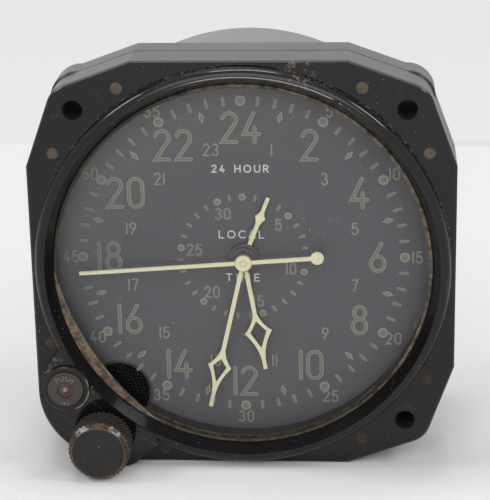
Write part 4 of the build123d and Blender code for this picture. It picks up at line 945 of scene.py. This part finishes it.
# Stage: a pale floor with a faint joint behind the clock drawn as a painted shadow line, soft lights and a
# pale surround
SEEN_RAYS = ("Is Camera Ray", "Is Glossy Ray", "Is Transmission Ray")
FLOOR_HALF = 3.0
JOINT_Y = 0.215
NEAR_R = 0.55
FAR_R = 1.3
SURROUND = 0.83
AMBIENT = 0.27


def floor_paint():
    """Pale paper, a shade darker behind the joint, with a painted shadow line along it. Far off, behind and
    beside the clock it starts to glow.
    """
    t = Tree("floor_pale")
    x, y, _ = t.axes()
    tone = t.noise(6.0, 3.0, 0.5)
    near = t.mix(tone, (0.88, 0.88, 0.88), (0.865, 0.865, 0.865))
    back = t.mix(tone, (0.845, 0.84, 0.83), (0.83, 0.825, 0.815))
    colour = t.mix(t.step(y, JOINT_Y - 0.001, JOINT_Y + 0.001), near, back)
    # Painted shadow: a thin darker line along the joint, on the right only.
    line = t.times(t.step(t.off(y, JOINT_Y), 0.006, 0.001), t.step(x, -0.02, 0.04), 0.5)
    colour = t.mix(line, colour, (0.70, 0.695, 0.69))
    paper = t.node("ShaderNodeBsdfPrincipled", Base_Color=colour, Roughness=0.6, Specular_IOR_Level=0.2)
    glow = t.node("ShaderNodeEmission", Color=colour, Strength=1.04)
    paths = t.nodes.new("ShaderNodeLightPath")
    seen = t.most(*[paths.outputs[name] for name in SEEN_RAYS])
    far = t.step(t.length(x, y), NEAR_R, FAR_R)
    behind = t.times(t.step(y, -0.04, 0.14), 0.7)
    beside = t.times(t.step(t.math("ABSOLUTE", x), 0.048, 0.09), 0.5)
    return t.finished(t.blend(t.times(t.most(far, behind, beside), seen), paper, glow))


def floor(material):
    """A wide level sheet under the clock."""
    points = [(x, y, FLOOR_Z) for y in (-FLOOR_HALF, FLOOR_HALF) for x in (-FLOOR_HALF, FLOOR_HALF)]
    mesh = bpy.data.meshes.new("floor")
    mesh.from_pydata(points, [], [(0, 1, 3, 2)])
    mesh.materials.append(material)
    obj = add_object("floor", mesh)


def area_light(name, place, target, size, power):
    """A soft box at place that looks at target."""
    light = bpy.data.lights.new(name, "AREA")
    light.shape = "RECTANGLE"
    light.size, light.size_y = size
    light.energy = power
    obj = add_object(name, light)
    obj.location = place
    obj.rotation_euler = (Vector(target) - Vector(place)).to_track_quat("-Z", "Y").to_euler()


def surround():
    """Pale to the camera and in reflections, and dimmer as a light on the clock."""
    world = bpy.data.worlds.new("studio")
    world.use_nodes = True
    nodes, links = world.node_tree.nodes, world.node_tree.links
    background = nodes["Background"]
    background.inputs["Color"].default_value = (1.0, 1.0, 1.0, 1.0)
    paths = nodes.new("ShaderNodeLightPath")
    seen = paths.outputs[SEEN_RAYS[0]]
    for name in SEEN_RAYS[1:]:
        larger = nodes.new("ShaderNodeMath")
        larger.operation = "MAXIMUM"
        links.new(seen, larger.inputs[0])
        links.new(paths.outputs[name], larger.inputs[1])
        seen = larger.outputs[0]
    level = nodes.new("ShaderNodeMapRange")
    level.inputs["To Min"].default_value = AMBIENT
    level.inputs["To Max"].default_value = SURROUND
    links.new(seen, level.inputs["Value"])
    links.new(level.outputs[0], background.inputs["Strength"])
    bpy.context.scene.world = world


def stage():
    floor(floor_paint())
    area_light("left_box", (-0.70, -0.12, 0.66), (0, 0, 0), (0.19, 0.24), 1.5)
    area_light("right_box", (0.70, -0.12, 0.66), (0, 0, 0), (0.19, 0.24), 1.5)
    area_light("overhead", (-0.03, 0.10, 0.95), (0, 0, 0), (0.42, 0.18), 2.6)
    area_light("front_fill", (0.05, -1.2, 0.85), (0, 0.05, 0), (1.6, 0.9), 10.0)
    area_light("front_low", (0.03, -1.3, 0.03), (0, 0, 0), (0.5, 0.2), 3.4)
    surround()


# Camera: the photograph's own view, its place in metres and its angles in radians
CAMERA_PLACE = (0.02532, -0.36966, 0.12753)
CAMERA_YAW = 0.0695191717
CAMERA_PITCH = 0.334896581
CAMERA_ROLL = -0.0197169618
CAMERA_LENS = 140.15
CAMERA_SENSOR = 36.0


def camera():
    """The camera, turned by its yaw, its pitch and then its roll."""
    yaw, pitch, roll = CAMERA_YAW, CAMERA_PITCH, CAMERA_ROLL
    forward = Vector((-sin(yaw) * cos(pitch), cos(yaw) * cos(pitch), -sin(pitch)))
    right = Vector((cos(yaw), sin(yaw), 0.0))
    up = right.cross(forward)
    turned_right = cos(roll) * right + sin(roll) * up
    turned_up = cos(roll) * up - sin(roll) * right
    data = bpy.data.cameras.new("camera")
    data.lens = CAMERA_LENS
    data.sensor_width = CAMERA_SENSOR
    data.clip_start = 0.01
    obj = add_object("camera", data)
    turn = Matrix((turned_right, turned_up, -forward)).transposed().to_4x4()
    obj.matrix_world = Matrix.Translation(CAMERA_PLACE) @ turn
    bpy.context.scene.camera = obj


slots = dress_nodes()
knurled_knob(slots["knob_black"])
dial_marks()
button_words()
stage()
camera()
bpy.context.scene.view_settings.view_transform = "Standard"
